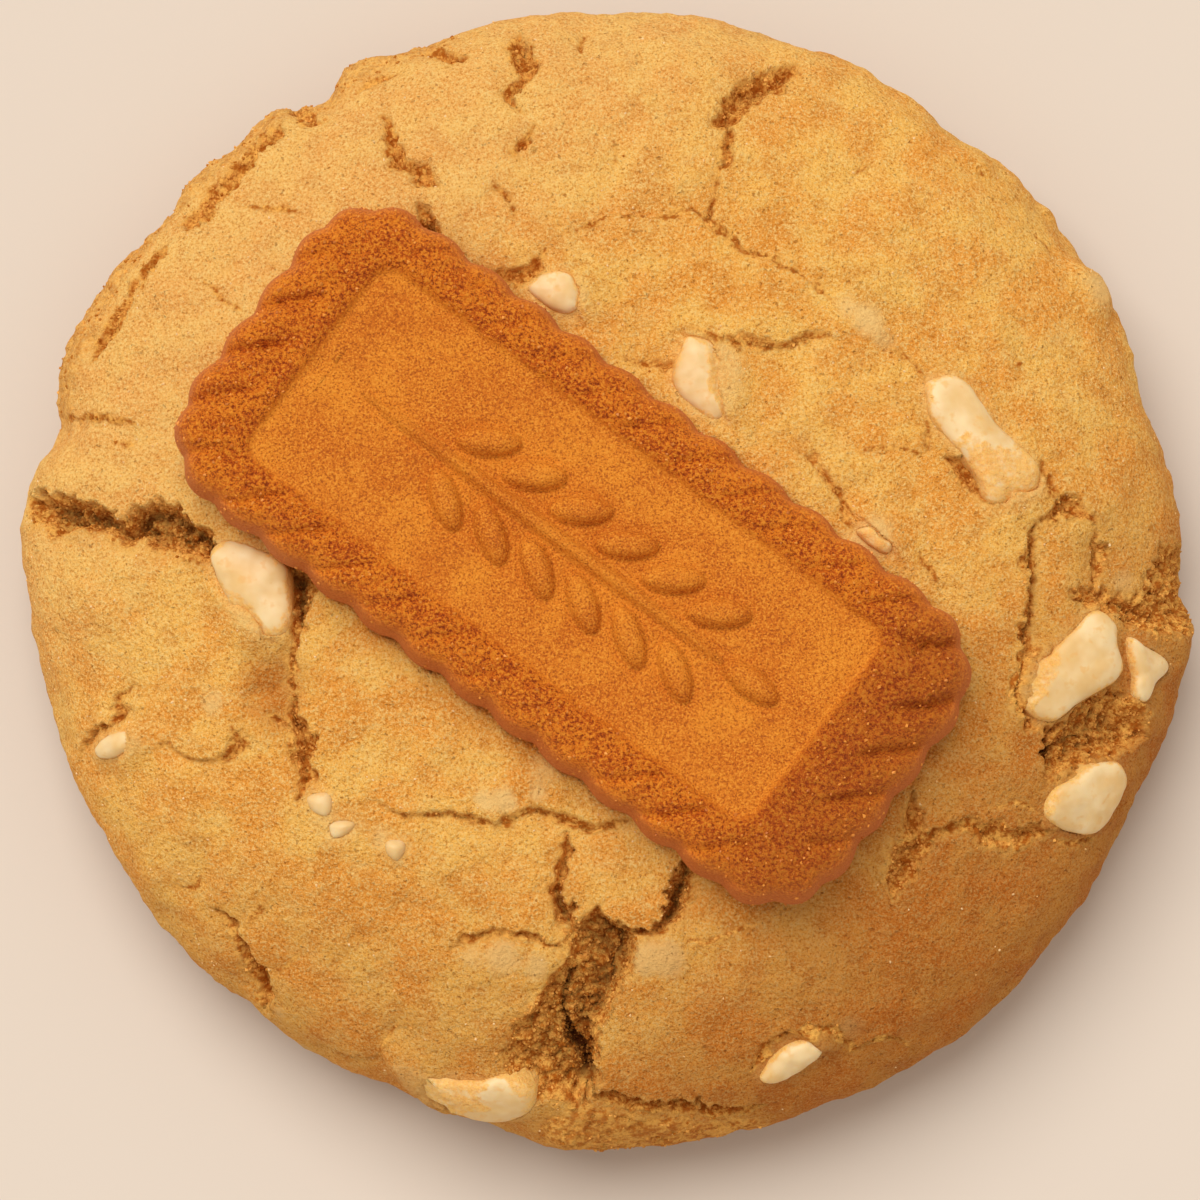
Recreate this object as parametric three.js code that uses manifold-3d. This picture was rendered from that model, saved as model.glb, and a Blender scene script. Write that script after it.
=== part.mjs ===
// A thick soft-baked white chocolate cookie with a caramelised biscuit pressed into its top.
// Millimetres, +Z up. The origin is the centre of the flat base; +Y is the top of the picture.
import * as THREE from 'three';
import Module from 'manifold-3d';

// Cookie: overall form
const COOKIE_HEIGHT = 21.0;
const WAIST_HEIGHT = 7.0; // where the side bulges widest
const BASE_SHARE = 0.92; // base radius over widest radius
const DOME_POWER = 3.4; // higher is flatter on top
const RIPPLE_HEIGHT = 0.45; // gentle lumps of the baked top
const RIPPLE_SIZE = 9.0;
const MESH_STEP = 2.3;
const FINEST_DETAIL = 0.02; // slivers thinner than this are merged away
// Widest radius every 15 degrees, counter-clockwise from +X
const EDGE_RADII = [
  47.3, 47.6, 48.5, 48.2, 48.1, 47.9, 47.7, 47.5, 46.8, 47.6, 47.9, 47.3,
  47.8, 46.4, 46.1, 46.0, 45.5, 45.8, 46.6, 46.7, 47.2, 47.4, 47.4, 47.9,
];

// Biscuit on top
const BISCUIT_LENGTH = 65.7;
const BISCUIT_WIDTH = 29.2;
const BISCUIT_THICKNESS = 6.4;
const BISCUIT_CORNER = 7.4;
const BISCUIT_CENTRE = [-2.45, 0.35];
const BISCUIT_TURN = -37.0; // degrees, long side against +X
const BISCUIT_UNDERSIDE = 19.4;
const LOBE_COUNT = 38;
const LOBE_DEPTH = 0.75;
const RIM_WIDTH = 5.6;
const FIELD_DROP = 0.7; // field below the rim's crest
const RIB_HEIGHT = 0.22;
const POINTS_PER_LOBE = 4;

// Raised ear of grain moulded in the biscuit's field
const GRAIN_PAIRS = 7;
const GRAIN_SIZE = [1.9, 0.85, 0.5]; // half length, half width, height
const GRAIN_PITCH = 4.0;
const GRAIN_LEAN = 30; // degrees off the stalk
const GRAIN_OFFSET = 1.2; // from the stalk's middle to a kernel's foot
const STALK_HALF_WIDTH = 0.45;
const EAR_START = -14.0;
const STALK_START = -19.5;

// White chocolate pieces
const CHUNK_DEPTH = 4.6; // how far a piece reaches into the dough
const CHUNK_PROUD = 0.9; // how far it stands out of the crust
const CHUNK_POINTS = 12;
const NIB_POINTS = 6;
const GAP = 0.32;

// Outlines of the pieces, seen from above
const CHUNKS = {
  chunk_west: [[-31.7, 1.2], [-29.6, 1.4], [-27.4, 0.2], [-25.9, -1.2], [-25.2, -3.7], [-26.4, -5.7],
    [-28.7, -4.9], [-30.4, -1.6]],
  chunk_north: [[-6.2, 22.4], [-4.9, 23.9], [-2.9, 23.6], [-1.5, 22.0], [-2.8, 20.8], [-5.0, 21.2]],
  chunk_centre: [[6.9, 18.2], [9.0, 18.0], [10.6, 16.0], [11.0, 14.0], [9.0, 11.6], [6.8, 12.6], [5.7, 15.0]],
  chunk_northeast: [[26.0, 14.4], [28.2, 15.4], [30.6, 13.4], [33.4, 10.2], [35.4, 7.8], [35.0, 5.4],
    [32.0, 4.8], [30.2, 7.2], [27.4, 10.6]],
  chunk_east: [[39.1, -3.3], [41.4, -4.2], [42.3, -7.4], [40.0, -10.2], [36.6, -12.9], [33.9, -11.2],
    [36.0, -8.2], [37.6, -5.4]],
  chunk_east_rim: [[43.2, -5.4], [44.4, -6.2], [46.0, -7.4], [45.2, -9.2], [44.0, -10.4], [43.4, -8.2]],
  chunk_southeast: [[39.8, -15.8], [41.8, -15.5], [42.6, -17.4], [40.6, -21.2], [37.6, -21.5],
    [35.7, -19.9], [36.6, -17.6]],
  chunk_south: [[12.6, -40.8], [14.2, -39.2], [15.9, -38.3], [17.7, -38.7], [16.4, -40.3], [13.6, -41.4]],
  chunk_south_rim: [[-16.6, -40.2], [-12.9, -41.2], [-8.6, -41.2], [-5.6, -42.2], [-7.4, -44.2],
    [-11.2, -43.9], [-14.6, -42.6]],
  chunk_by_biscuit: [[21.0, 2.6], [22.6, 3.2], [23.6, 1.8], [22.4, 0.8]],
  chunk_far_west: [[-41.6, -14.6], [-40.4, -13.4], [-37.2, -13.4], [-37.6, -14.8], [-39.8, -15.3]],
};
// Small nibs of chocolate: centre and radius
const NIBS = [[-22.6, -19.7, 0.9], [-21.0, -21.7, 1.0], [-16.6, -23.3, 0.85]];
const NIB_DEPTH = 1.3;

// Wide cracks in the crust: run, width along the run, depth
const CRACKS = [
  { run: [[-48.5, 7.2], [-45.6, 5.4], [-42.4, 4.3], [-39.0, 2.6], [-36.4, 3.0], [-32.6, 1.5]], width: 2.2, depth: 4.5 },
  { run: [[-0.2, -30.2], [-1.8, -33.6], [-3.4, -37.0], [-3.9, -40.6], [-3.4, -45.6]], width: 5.4, depth: 6.0 },
  { run: [[-2.8, -21.9], [-3.1, -24.2], [-3.8, -26.6], [-2.8, -29.4]], width: 1.1, depth: 3.2 },
  { run: [[7.0, -23.5], [6.0, -27.4], [4.2, -29.4], [0.8, -29.5], [-2.3, -29.4]], width: 1.3, depth: 3.2 },
  { run: [[-0.4, -42.9], [3.0, -43.4], [6.4, -43.9], [10.0, -44.3]], width: 1.0, depth: 2.6 },
  { run: [[8.9, 29.0], [9.8, 33.0], [9.6, 36.6], [12.2, 39.2], [16.6, 42.4]], width: 1.6, depth: 3.0 },
  { run: [[-24.9, -6.5], [-24.7, -11.0], [-24.1, -16.0], [-24.6, -19.2]], width: 1.1, depth: 3.0 },
  { run: [[-24.5, 37.3], [-28.5, 34.5], [-31.4, 31.7], [-34.4, 29.1]], width: 1.7, depth: 1.8 },
  { run: [[-35.4, 27.2], [-39.6, 22.8], [-42.3, 17.6]], width: 1.6, depth: 1.7 },
  { run: [[-7.1, 44.6], [-7.2, 40.4], [-6.7, 35.0], [-7.9, 29.6]], width: 1.2, depth: 2.2 },
  { run: [[-18.4, 38.2], [-17.0, 34.6], [-14.4, 31.6], [-11.2, 26.8]], width: 1.4, depth: 2.6 },
  { run: [[34.5, 3.6], [35.0, -1.0], [34.4, -5.4], [33.2, -8.6]], width: 1.1, depth: 2.6 },
  { run: [[24.8, -19.6], [25.8, -22.4], [24.4, -24.6], [23.6, -27.0]], width: 1.2, depth: 2.6 },
  { run: [[-31.6, -27.8], [-29.4, -31.2], [-27.9, -34.6]], width: 1.4, depth: 2.8 },
  { run: [[7.2, 18.9], [11.6, 17.6], [15.6, 17.7], [18.9, 18.4]], width: 1.0, depth: 1.8 },
];
// Broken-out hollows beside the eastern pieces
const HOLLOWS = [
  { rim: [[38.0, -1.9], [40.4, -0.4], [43.4, 0.0], [46.2, -0.8], [46.6, -3.6], [42.8, -2.6]], depth: 2.2 },
  { rim: [[36.0, -14.0], [39.4, -12.2], [43.0, -11.6], [43.4, -13.6], [40.6, -14.6], [36.6, -15.8]], depth: 4.0 },
];

const TAU = Math.PI * 2;
const wasm = await Module();
wasm.setup();

// A smooth repeatable lump pattern between -1 and 1
function ripple(x, y, size, seed) {
  const u = x / size;
  const v = y / size;
  const cellX = Math.floor(u);
  const cellY = Math.floor(v);
  const blendX = THREE.MathUtils.smoothstep(u - cellX, 0, 1);
  const blendY = THREE.MathUtils.smoothstep(v - cellY, 0, 1);
  const corner = (i, j) => {
    const wave = Math.sin((cellX + i) * 127.1 + (cellY + j) * 311.7 + seed * 74.7) * 43758.5453;
    return (wave - Math.floor(wave)) * 2 - 1;
  };
  const near = THREE.MathUtils.lerp(corner(0, 0), corner(1, 0), blendX);
  const far = THREE.MathUtils.lerp(corner(0, 1), corner(1, 1), blendX);
  return THREE.MathUtils.lerp(near, far, blendY);
}

// The cookie's widest radius in a direction, eased between the readings
function edgeRadius(angle) {
  const place = ((angle / TAU) * EDGE_RADII.length + EDGE_RADII.length) % EDGE_RADII.length;
  const first = Math.floor(place);
  const share = THREE.MathUtils.smoothstep(place - first, 0, 1);
  const next = (first + 1) % EDGE_RADII.length;
  return THREE.MathUtils.lerp(EDGE_RADII[first], EDGE_RADII[next], share);
}

// Height of the crust above a point of the plan, before cracks and pockets
function crustHeight(x, y) {
  const share = Math.min(Math.hypot(x, y) / edgeRadius(Math.atan2(y, x)), 0.999);
  const dome = Math.sqrt(1 - share ** DOME_POWER);
  const lumps = RIPPLE_HEIGHT * ripple(x, y, RIPPLE_SIZE, 1) * dome;
  return WAIST_HEIGHT + (COOKIE_HEIGHT - WAIST_HEIGHT) * dome + lumps;
}

// The crust's outward direction above a point of the plan
function crustNormal(x, y) {
  const reach = 0.8;
  const slopeX = (crustHeight(x + reach, y) - crustHeight(x - reach, y)) / (2 * reach);
  const slopeY = (crustHeight(x, y + reach) - crustHeight(x, y - reach)) / (2 * reach);
  return new THREE.Vector3(-slopeX, -slopeY, 1).normalize();
}

// A closed skin made of rings of points, stitched bottom to top
class Skin {
  constructor() {
    this.points = [];
    this.faces = [];
  }

  add(point) {
    this.points.push(point.x, point.y, point.z);
    return this.points.length / 3 - 1;
  }

  ring(points) {
    return points.map((point) => this.add(point));
  }

  stitch(lower, upper) {
    let i = 0;
    let j = 0;
    while (i < lower.length || j < upper.length) {
      const a = lower[i % lower.length];
      const b = upper[j % upper.length];
      const lowerFirst = (i + 1) / lower.length <= (j + 1) / upper.length;
      if (j >= upper.length || (i < lower.length && lowerFirst)) {
        i += 1;
        this.faces.push(a, lower[i % lower.length], b);
      } else {
        j += 1;
        this.faces.push(a, upper[j % upper.length], b);
      }
    }
  }

  fan(ring, point, facesUp) {
    const hub = this.add(point);
    ring.forEach((corner, k) => {
      const next = ring[(k + 1) % ring.length];
      this.faces.push(...(facesUp ? [corner, next, hub] : [next, corner, hub]));
    });
  }

  // Rings from the bottom up, closed with a hub point at both ends
  static fromRings(rings, lowHub, highHub) {
    const skin = new Skin();
    const indexed = rings.map((points) => skin.ring(points));
    skin.fan(indexed[0], lowHub, false);
    for (let k = 1; k < indexed.length; k += 1) {
      skin.stitch(indexed[k - 1], indexed[k]);
    }
    skin.fan(indexed[indexed.length - 1], highHub, true);
    return skin.solid();
  }

  solid() {
    const vertProperties = new Float32Array(this.points);
    const triVerts = new Uint32Array(this.faces);
    return new wasm.Manifold(new wasm.Mesh({ numProp: 3, vertProperties, triVerts }));
  }
}

// The whole cookie before anything is cut into it
function plainCookie() {
  const flank = [[BASE_SHARE - 0.03, 0], [BASE_SHARE, 0.5], [0.965, 2.4], [0.992, 4.6]];
  const dome = [];
  for (let k = 0; k <= 40; k += 1) {
    const turn = (k / 40) * (Math.PI / 2);
    const rise = (COOKIE_HEIGHT - WAIST_HEIGHT) * Math.sin(turn);
    dome.push([Math.cos(turn) ** (2 / DOME_POWER), WAIST_HEIGHT + rise]);
  }
  const meanRadius = EDGE_RADII.reduce((sum, radius) => sum + radius, 0) / EDGE_RADII.length;
  const profile = new THREE.SplineCurve(
    [...flank, ...dome].map(([share, height]) => new THREE.Vector2(share * meanRadius, height)),
  );
  profile.arcLengthDivisions = 600;
  const levels = profile.getSpacedPoints(Math.round(profile.getLength() / MESH_STEP));
  levels.pop();
  const rings = levels.map((level) => {
    const share = level.x / meanRadius;
    const count = Math.max(6, Math.round((TAU * level.x) / MESH_STEP));
    return Array.from({ length: count }, (_, k) => {
      const angle = (k / count) * TAU;
      const radius = share * edgeRadius(angle);
      const x = radius * Math.cos(angle);
      const y = radius * Math.sin(angle);
      const onDome = THREE.MathUtils.smoothstep(level.y, WAIST_HEIGHT, COOKIE_HEIGHT);
      const lumps = RIPPLE_HEIGHT * ripple(x, y, RIPPLE_SIZE, 1) * onDome;
      return new THREE.Vector3(x, y, level.y + lumps);
    });
  });
  return Skin.fromRings(rings, new THREE.Vector3(0, 0, 0), new THREE.Vector3(0, 0, crustHeight(0, 0)));
}

// A body that sits in the crust, square to it: rings of [share of outline, grow, height]
function sunkBody(outline, levels, count = CHUNK_POINTS) {
  const curve = new THREE.CatmullRomCurve3(outline.map(([x, y]) => new THREE.Vector3(x, y, 0)), true);
  const plan = curve.getSpacedPoints(count).slice(0, count).reverse();
  const middle = plan.reduce((sum, point) => sum.add(point), new THREE.Vector3()).divideScalar(plan.length);
  const normal = crustNormal(middle.x, middle.y);
  const seat = new THREE.Vector3(middle.x, middle.y, crustHeight(middle.x, middle.y));
  const rays = plan.map((point) => {
    const ray = point.clone().sub(middle);
    ray.z = -(normal.x * ray.x + normal.y * ray.y) / normal.z;
    return ray;
  });
  const at = (ray, [share, grow, height]) => {
    const out = ray.clone().multiplyScalar(share).add(ray.clone().setLength(grow));
    return out.add(seat).addScaledVector(normal, height);
  };
  const rings = levels.map((level) => rays.map((ray) => at(ray, level)));
  const low = seat.clone().addScaledVector(normal, levels[0][2]);
  const high = seat.clone().addScaledVector(normal, levels[levels.length - 1][2] + 0.05);
  return Skin.fromRings(rings, low, high);
}

function chunk(outline, depth, proud, count) {
  return sunkBody(outline, [
    [0.62, 0, -depth],
    [0.92, 0, -depth * 0.62],
    [1, 0, -0.5],
    [0.95, 0, proud * 0.45],
    [0.72, 0, proud],
  ], count);
}

function pocket(outline, depth, count) {
  return sunkBody(outline, [
    [0.62, GAP * 1.3, -depth - GAP],
    [0.92, GAP * 1.2, -depth * 0.62],
    [1, GAP * 1.1, -0.5],
    [1.04, GAP * 1.5, 3.0],
  ], count);
}

function hollow(outline, depth) {
  return sunkBody(outline, [
    [0.45, 0, -depth],
    [0.85, 0, -depth * 0.45],
    [1.1, 0, 2.5],
  ]);
}

// A wedge that opens a crack: narrow at its foot, tapering at both ends
function crackWedge({ run, width, depth }) {
  const curve = new THREE.CatmullRomCurve3(run.map(([x, y]) => new THREE.Vector3(x, y, 0)));
  const steps = Math.max(6, Math.round(curve.getLength() / 1.8));
  const sections = [];
  for (let k = 0; k <= steps; k += 1) {
    const share = k / steps;
    const spot = curve.getPointAt(share);
    const along = curve.getTangentAt(share);
    const taper = Math.max(0.12, Math.sin(Math.PI * Math.min(Math.max(share, 0.03), 0.97)) ** 0.55);
    const normal = crustNormal(spot.x, spot.y);
    const side = new THREE.Vector3().crossVectors(normal, along).normalize();
    const sway = 0.25 * width * ripple(spot.x, spot.y, 2.4, 5);
    const base = new THREE.Vector3(spot.x, spot.y, crustHeight(spot.x, spot.y));
    base.addScaledVector(side, sway);
    const half = (width / 2) * taper;
    const corner = (across, up) => base.clone().addScaledVector(side, across).addScaledVector(normal, up);
    sections.push([
      corner(-half * 1.25, 1.6),
      corner(-half * 0.3, -depth * taper),
      corner(half * 0.3, -depth * taper),
      corner(half * 1.25, 1.6),
    ]);
  }
  const first = sections[0].reduce((sum, p) => sum.add(p), new THREE.Vector3()).divideScalar(4);
  const final = sections[steps].reduce((sum, p) => sum.add(p), new THREE.Vector3()).divideScalar(4);
  return Skin.fromRings(sections, first, final);
}

// Points round a rounded rectangle, each with its outward direction
function biscuitFrame(count) {
  const straightX = BISCUIT_LENGTH / 2 - BISCUIT_CORNER;
  const straightY = BISCUIT_WIDTH / 2 - BISCUIT_CORNER;
  const path = new THREE.Path();
  path.moveTo(BISCUIT_LENGTH / 2, 0);
  path.lineTo(BISCUIT_LENGTH / 2, straightY);
  path.absarc(straightX, straightY, BISCUIT_CORNER, 0, Math.PI / 2);
  path.lineTo(-straightX, BISCUIT_WIDTH / 2);
  path.absarc(-straightX, straightY, BISCUIT_CORNER, Math.PI / 2, Math.PI);
  path.lineTo(-BISCUIT_LENGTH / 2, -straightY);
  path.absarc(-straightX, -straightY, BISCUIT_CORNER, Math.PI, Math.PI * 1.5);
  path.lineTo(straightX, -BISCUIT_WIDTH / 2);
  path.absarc(straightX, -straightY, BISCUIT_CORNER, Math.PI * 1.5, TAU);
  path.lineTo(BISCUIT_LENGTH / 2, 0);
  return Array.from({ length: count }, (_, k) => {
    const spot = path.getPointAt(k / count);
    const coreX = THREE.MathUtils.clamp(spot.x, -straightX, straightX);
    const coreY = THREE.MathUtils.clamp(spot.y, -straightY, straightY);
    const out = new THREE.Vector2(spot.x - coreX, spot.y - coreY).normalize();
    const lobe = Math.abs(Math.sin((Math.PI * LOBE_COUNT * k) / count));
    return { spot, out, lobe };
  });
}

// One level of the biscuit: inset from the edge, height, and how much of each lobe shows
function biscuitRing(frame, inset, height, lobeShare, ribHeight) {
  return frame.map(({ spot, out, lobe }) => {
    const pulled = inset + LOBE_DEPTH * lobeShare * (1 - lobe);
    return new THREE.Vector3(
      spot.x - out.x * pulled,
      spot.y - out.y * pulled,
      height + ribHeight * (lobe * 2 - 1),
    );
  });
}

function biscuit() {
  const frame = biscuitFrame(LOBE_COUNT * POINTS_PER_LOBE);
  const crest = BISCUIT_THICKNESS;
  const field = crest - FIELD_DROP;
  const rings = [
    biscuitRing(frame, 1.5, 0, 0.5, 0),
    biscuitRing(frame, 0.35, 0.9, 1, 0),
    biscuitRing(frame, 0, 2.4, 1, 0),
    biscuitRing(frame, 0.5, crest * 0.76, 1, 0),
    biscuitRing(frame, 1.5, crest - 0.45, 0.9, RIB_HEIGHT * 0.5),
    biscuitRing(frame, 2.8, crest - RIB_HEIGHT, 0.5, RIB_HEIGHT),
    biscuitRing(frame, RIM_WIDTH - 0.9, crest - 0.4, 0.3, RIB_HEIGHT * 0.8),
    biscuitRing(frame, RIM_WIDTH, field, 0, 0),
    biscuitRing(frame, RIM_WIDTH + 0.5, field + 0.22, 0, 0),
    biscuitRing(frame, RIM_WIDTH + 1.1, field, 0, 0),
    frame.filter((_, k) => k % POINTS_PER_LOBE === 0).map(({ spot }) => (
      new THREE.Vector3(spot.x * 0.6, spot.y * 0.3, field)
    )),
  ];
  const body = Skin.fromRings(rings, new THREE.Vector3(0, 0, 0), new THREE.Vector3(0, 0, field));
  return body.add(grainEar(field));
}

// One raised kernel, half sunk in the field
function kernel(x, y, turn, size, level) {
  const [halfLength, halfWidth, height] = size;
  const sides = 8;
  const ring = (share, lift) => Array.from({ length: sides }, (_, k) => {
    const angle = (k / sides) * TAU;
    const point = new THREE.Vector3(halfLength * share * Math.cos(angle), halfWidth * share * Math.sin(angle), 0);
    point.applyAxisAngle(new THREE.Vector3(0, 0, 1), turn);
    return point.add(new THREE.Vector3(x, y, level + lift));
  });
  const rings = [ring(1, -0.5), ring(1, 0.05), ring(0.62, height * 0.85)];
  return Skin.fromRings(rings, new THREE.Vector3(x, y, level - 0.5), new THREE.Vector3(x, y, level + height));
}

// A traditional ear of grain along the middle of the field
function grainEar(level) {
  const lean = THREE.MathUtils.degToRad(GRAIN_LEAN);
  const [halfLength, , height] = GRAIN_SIZE;
  const stalkHalf = (EAR_START - STALK_START + GRAIN_PAIRS * GRAIN_PITCH) / 2;
  let ear = kernel(STALK_START + stalkHalf, 0, 0, [stalkHalf, STALK_HALF_WIDTH, height * 0.7], level);
  for (let k = 0; k < GRAIN_PAIRS; k += 1) {
    for (const side of [-1, 1]) {
      const x = EAR_START + k * GRAIN_PITCH + halfLength * Math.cos(lean);
      const y = side * (GRAIN_OFFSET + halfLength * Math.sin(lean));
      ear = ear.add(kernel(x, y, side * lean, GRAIN_SIZE, level));
    }
  }
  const tip = STALK_START + stalkHalf * 2 + halfLength + 0.3;
  return ear.add(kernel(tip, 0, 0, GRAIN_SIZE, level));
}

// The dent that the biscuit rests in, a little larger than the biscuit
function biscuitSeat() {
  const frame = biscuitFrame(96);
  const ring = (inset, height) => frame.map(({ spot, out }) => (
    new THREE.Vector3(spot.x - out.x * inset, spot.y - out.y * inset, height)
  ));
  const rings = [ring(0.9, -GAP), ring(-GAP, 0.9), ring(-GAP - 0.3, BISCUIT_THICKNESS)];
  return Skin.fromRings(rings, new THREE.Vector3(0, 0, -GAP), new THREE.Vector3(0, 0, BISCUIT_THICKNESS));
}

function onTop(solid) {
  return solid.rotate([0, 0, BISCUIT_TURN]).translate([...BISCUIT_CENTRE, BISCUIT_UNDERSIDE]);
}

function nibOutline([x, y, radius]) {
  return Array.from({ length: 5 }, (_, k) => {
    const angle = -(k / 5) * TAU;
    return [x + radius * Math.cos(angle), y + radius * 0.8 * Math.sin(angle)];
  });
}

const dough = new THREE.MeshStandardMaterial({ color: 0xe9a850, roughness: 0.85, metalness: 0 });
const caramelised = new THREE.MeshStandardMaterial({ color: 0xcf711f, roughness: 0.75, metalness: 0 });
const whiteChocolate = new THREE.MeshStandardMaterial({ color: 0xf3cd8c, roughness: 0.4, metalness: 0 });

const group = new THREE.Group();

function addPiece(name, solid, material) {
  const { vertProperties, triVerts, numProp } = solid.getMesh();
  const geometry = new THREE.BufferGeometry();
  const positions = new Float32Array((vertProperties.length / numProp) * 3);
  for (let k = 0; k < positions.length / 3; k += 1) {
    positions.set(vertProperties.subarray(k * numProp, k * numProp + 3), k * 3);
  }
  geometry.setAttribute('position', new THREE.BufferAttribute(positions, 3));
  geometry.setIndex(new THREE.BufferAttribute(new Uint32Array(triVerts), 1));
  const mesh = new THREE.Mesh(geometry, material);
  mesh.name = name;
  group.add(mesh);
}

let cookie = plainCookie();
cookie = cookie.subtract(onTop(biscuitSeat()));
for (const crack of CRACKS) {
  cookie = cookie.subtract(crackWedge(crack));
}
for (const { rim, depth } of HOLLOWS) {
  cookie = cookie.subtract(hollow(rim, depth));
}
for (const [name, outline] of Object.entries(CHUNKS)) {
  cookie = cookie.subtract(pocket(outline, CHUNK_DEPTH));
  addPiece(name, chunk(outline, CHUNK_DEPTH, CHUNK_PROUD), whiteChocolate);
}
NIBS.forEach((nib, k) => {
  const outline = nibOutline(nib);
  cookie = cookie.subtract(pocket(outline, NIB_DEPTH, NIB_POINTS));
  addPiece(`nib_${k + 1}`, chunk(outline, NIB_DEPTH, 0.5, NIB_POINTS), whiteChocolate);
});
addPiece('cookie', cookie.simplify(FINEST_DETAIL), dough);
addPiece('biscuit', onTop(biscuit().simplify(FINEST_DETAIL)), caramelised);

export default group;
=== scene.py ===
import itertools
import math

import bpy
import numpy as np
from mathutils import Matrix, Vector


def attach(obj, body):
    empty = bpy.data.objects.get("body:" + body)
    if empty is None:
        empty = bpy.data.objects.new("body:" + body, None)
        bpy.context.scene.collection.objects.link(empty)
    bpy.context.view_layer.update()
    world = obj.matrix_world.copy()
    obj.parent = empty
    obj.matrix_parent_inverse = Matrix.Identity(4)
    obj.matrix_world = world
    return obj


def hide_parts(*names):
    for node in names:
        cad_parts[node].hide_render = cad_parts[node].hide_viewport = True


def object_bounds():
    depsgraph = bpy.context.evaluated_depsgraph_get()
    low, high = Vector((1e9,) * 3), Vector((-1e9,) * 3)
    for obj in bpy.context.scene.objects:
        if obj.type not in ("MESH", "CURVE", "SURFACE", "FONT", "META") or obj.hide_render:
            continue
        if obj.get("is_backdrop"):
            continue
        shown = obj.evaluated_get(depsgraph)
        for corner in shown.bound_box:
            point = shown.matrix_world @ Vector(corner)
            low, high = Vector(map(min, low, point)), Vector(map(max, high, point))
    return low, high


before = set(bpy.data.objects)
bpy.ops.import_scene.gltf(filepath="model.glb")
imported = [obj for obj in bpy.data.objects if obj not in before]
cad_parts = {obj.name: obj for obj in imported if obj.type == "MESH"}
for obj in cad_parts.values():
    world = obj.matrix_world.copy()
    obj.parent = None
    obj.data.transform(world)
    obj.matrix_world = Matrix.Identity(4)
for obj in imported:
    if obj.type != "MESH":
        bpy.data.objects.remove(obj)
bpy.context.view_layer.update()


# ---------------------------------------------------------------- camera, daylight and table
# The cookie is seen almost straight down through a long lens, in soft light from the upper left,
# on a plain warm pale table top.
MM = 0.001
CAMERA_ELEVATION = 83.0
CAMERA_DISTANCE = 520 * MM
CAMERA_AIM = (-0.2 * MM, -0.68 * MM, 0.0)
PICTURE_PIXELS = 1200
PIXELS_PER_RADIAN = 6200
SENSOR_WIDTH = 36.0
LIGHT_ELEVATION = 60.0
LIGHT_COMPASS = 121.0  # counter-clockwise from +X
LIGHT_STRENGTH = 2.12
LIGHT_SOFTNESS = 48.0  # degrees across
LIGHT_COLOUR = "#FFFDFA"
SKY_STRENGTH = 0.58
SKY_COLOUR = "#FFF4E8"
TABLE_SIZE = 3.0
TABLE_DROP = 0.1 * MM  # below the cookie's base, so that the two faces don't share a place
TABLE_COLOUR = "#DDD1C4"


def linear(code):
    """An sRGB hex colour as Blender's linear RGBA."""
    parts = [int(code[k:k + 2], 16) / 255 for k in (1, 3, 5)]
    return [p / 12.92 if p <= 0.04045 else ((p + 0.055) / 1.055) ** 2.4 for p in parts] + [1.0]


def add_node(tree, kind, feeds=None, **settings):
    """Add one node: feeds gives each input a value or the output that it is linked to."""
    made = tree.nodes.new(kind)
    for name, value in settings.items():
        setattr(made, name, value)
    for socket, value in (feeds or {}).items():
        if isinstance(value, bpy.types.NodeSocket):
            tree.links.new(value, made.inputs[socket])
        else:
            made.inputs[socket].default_value = value
    return made


def new_material(name):
    material = bpy.data.materials.new(name)
    material.use_nodes = True
    material.node_tree.nodes.clear()
    return material


def finish_material(material, looks):
    """Cover the material with one surface shader that has these looks."""
    shader = add_node(material.node_tree, "ShaderNodeBsdfPrincipled", looks)
    add_node(material.node_tree, "ShaderNodeOutputMaterial", {"Surface": shader.outputs["BSDF"]})
    return material


def new_piece(name, corners, faces, material):
    """A mesh object whose place is in its mesh; corners in metres."""
    mesh = bpy.data.meshes.new(name)
    mesh.from_pydata(np.asarray(corners).tolist(), [], np.asarray(faces).tolist())
    mesh.polygons.foreach_set("use_smooth", [True] * len(mesh.polygons))
    mesh.materials.append(material)
    mesh.update()
    piece = bpy.data.objects.new(name, mesh)
    bpy.context.scene.collection.objects.link(piece)
    return piece


tilt = math.radians(90 - CAMERA_ELEVATION)
lens = bpy.data.cameras.new("camera")
lens.sensor_width = SENSOR_WIDTH
lens.lens = lens.sensor_width * PIXELS_PER_RADIAN / PICTURE_PIXELS
lens.clip_start = 0.01
camera = bpy.data.objects.new("camera", lens)
aim_x, aim_y, aim_z = CAMERA_AIM
camera.location = (aim_x, aim_y - CAMERA_DISTANCE * math.sin(tilt), aim_z + CAMERA_DISTANCE * math.cos(tilt))
camera.rotation_euler = (tilt, 0, 0)
bpy.context.scene.collection.objects.link(camera)
bpy.context.scene.camera = camera
bpy.context.scene.view_settings.view_transform = "Standard"

window = bpy.data.lights.new("window light", "SUN")
window.energy = LIGHT_STRENGTH
window.angle = math.radians(LIGHT_SOFTNESS)
window.color = linear(LIGHT_COLOUR)[:3]
window_lamp = bpy.data.objects.new("window light", window)
window_lamp.rotation_euler = (0, math.radians(90 - LIGHT_ELEVATION), math.radians(LIGHT_COMPASS))
bpy.context.scene.collection.objects.link(window_lamp)

sky = bpy.data.worlds.new("soft room light")
sky.use_nodes = True
background = sky.node_tree.nodes["Background"].inputs
background["Color"].default_value = linear(SKY_COLOUR)
background["Strength"].default_value = SKY_STRENGTH
bpy.context.scene.world = sky

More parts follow.
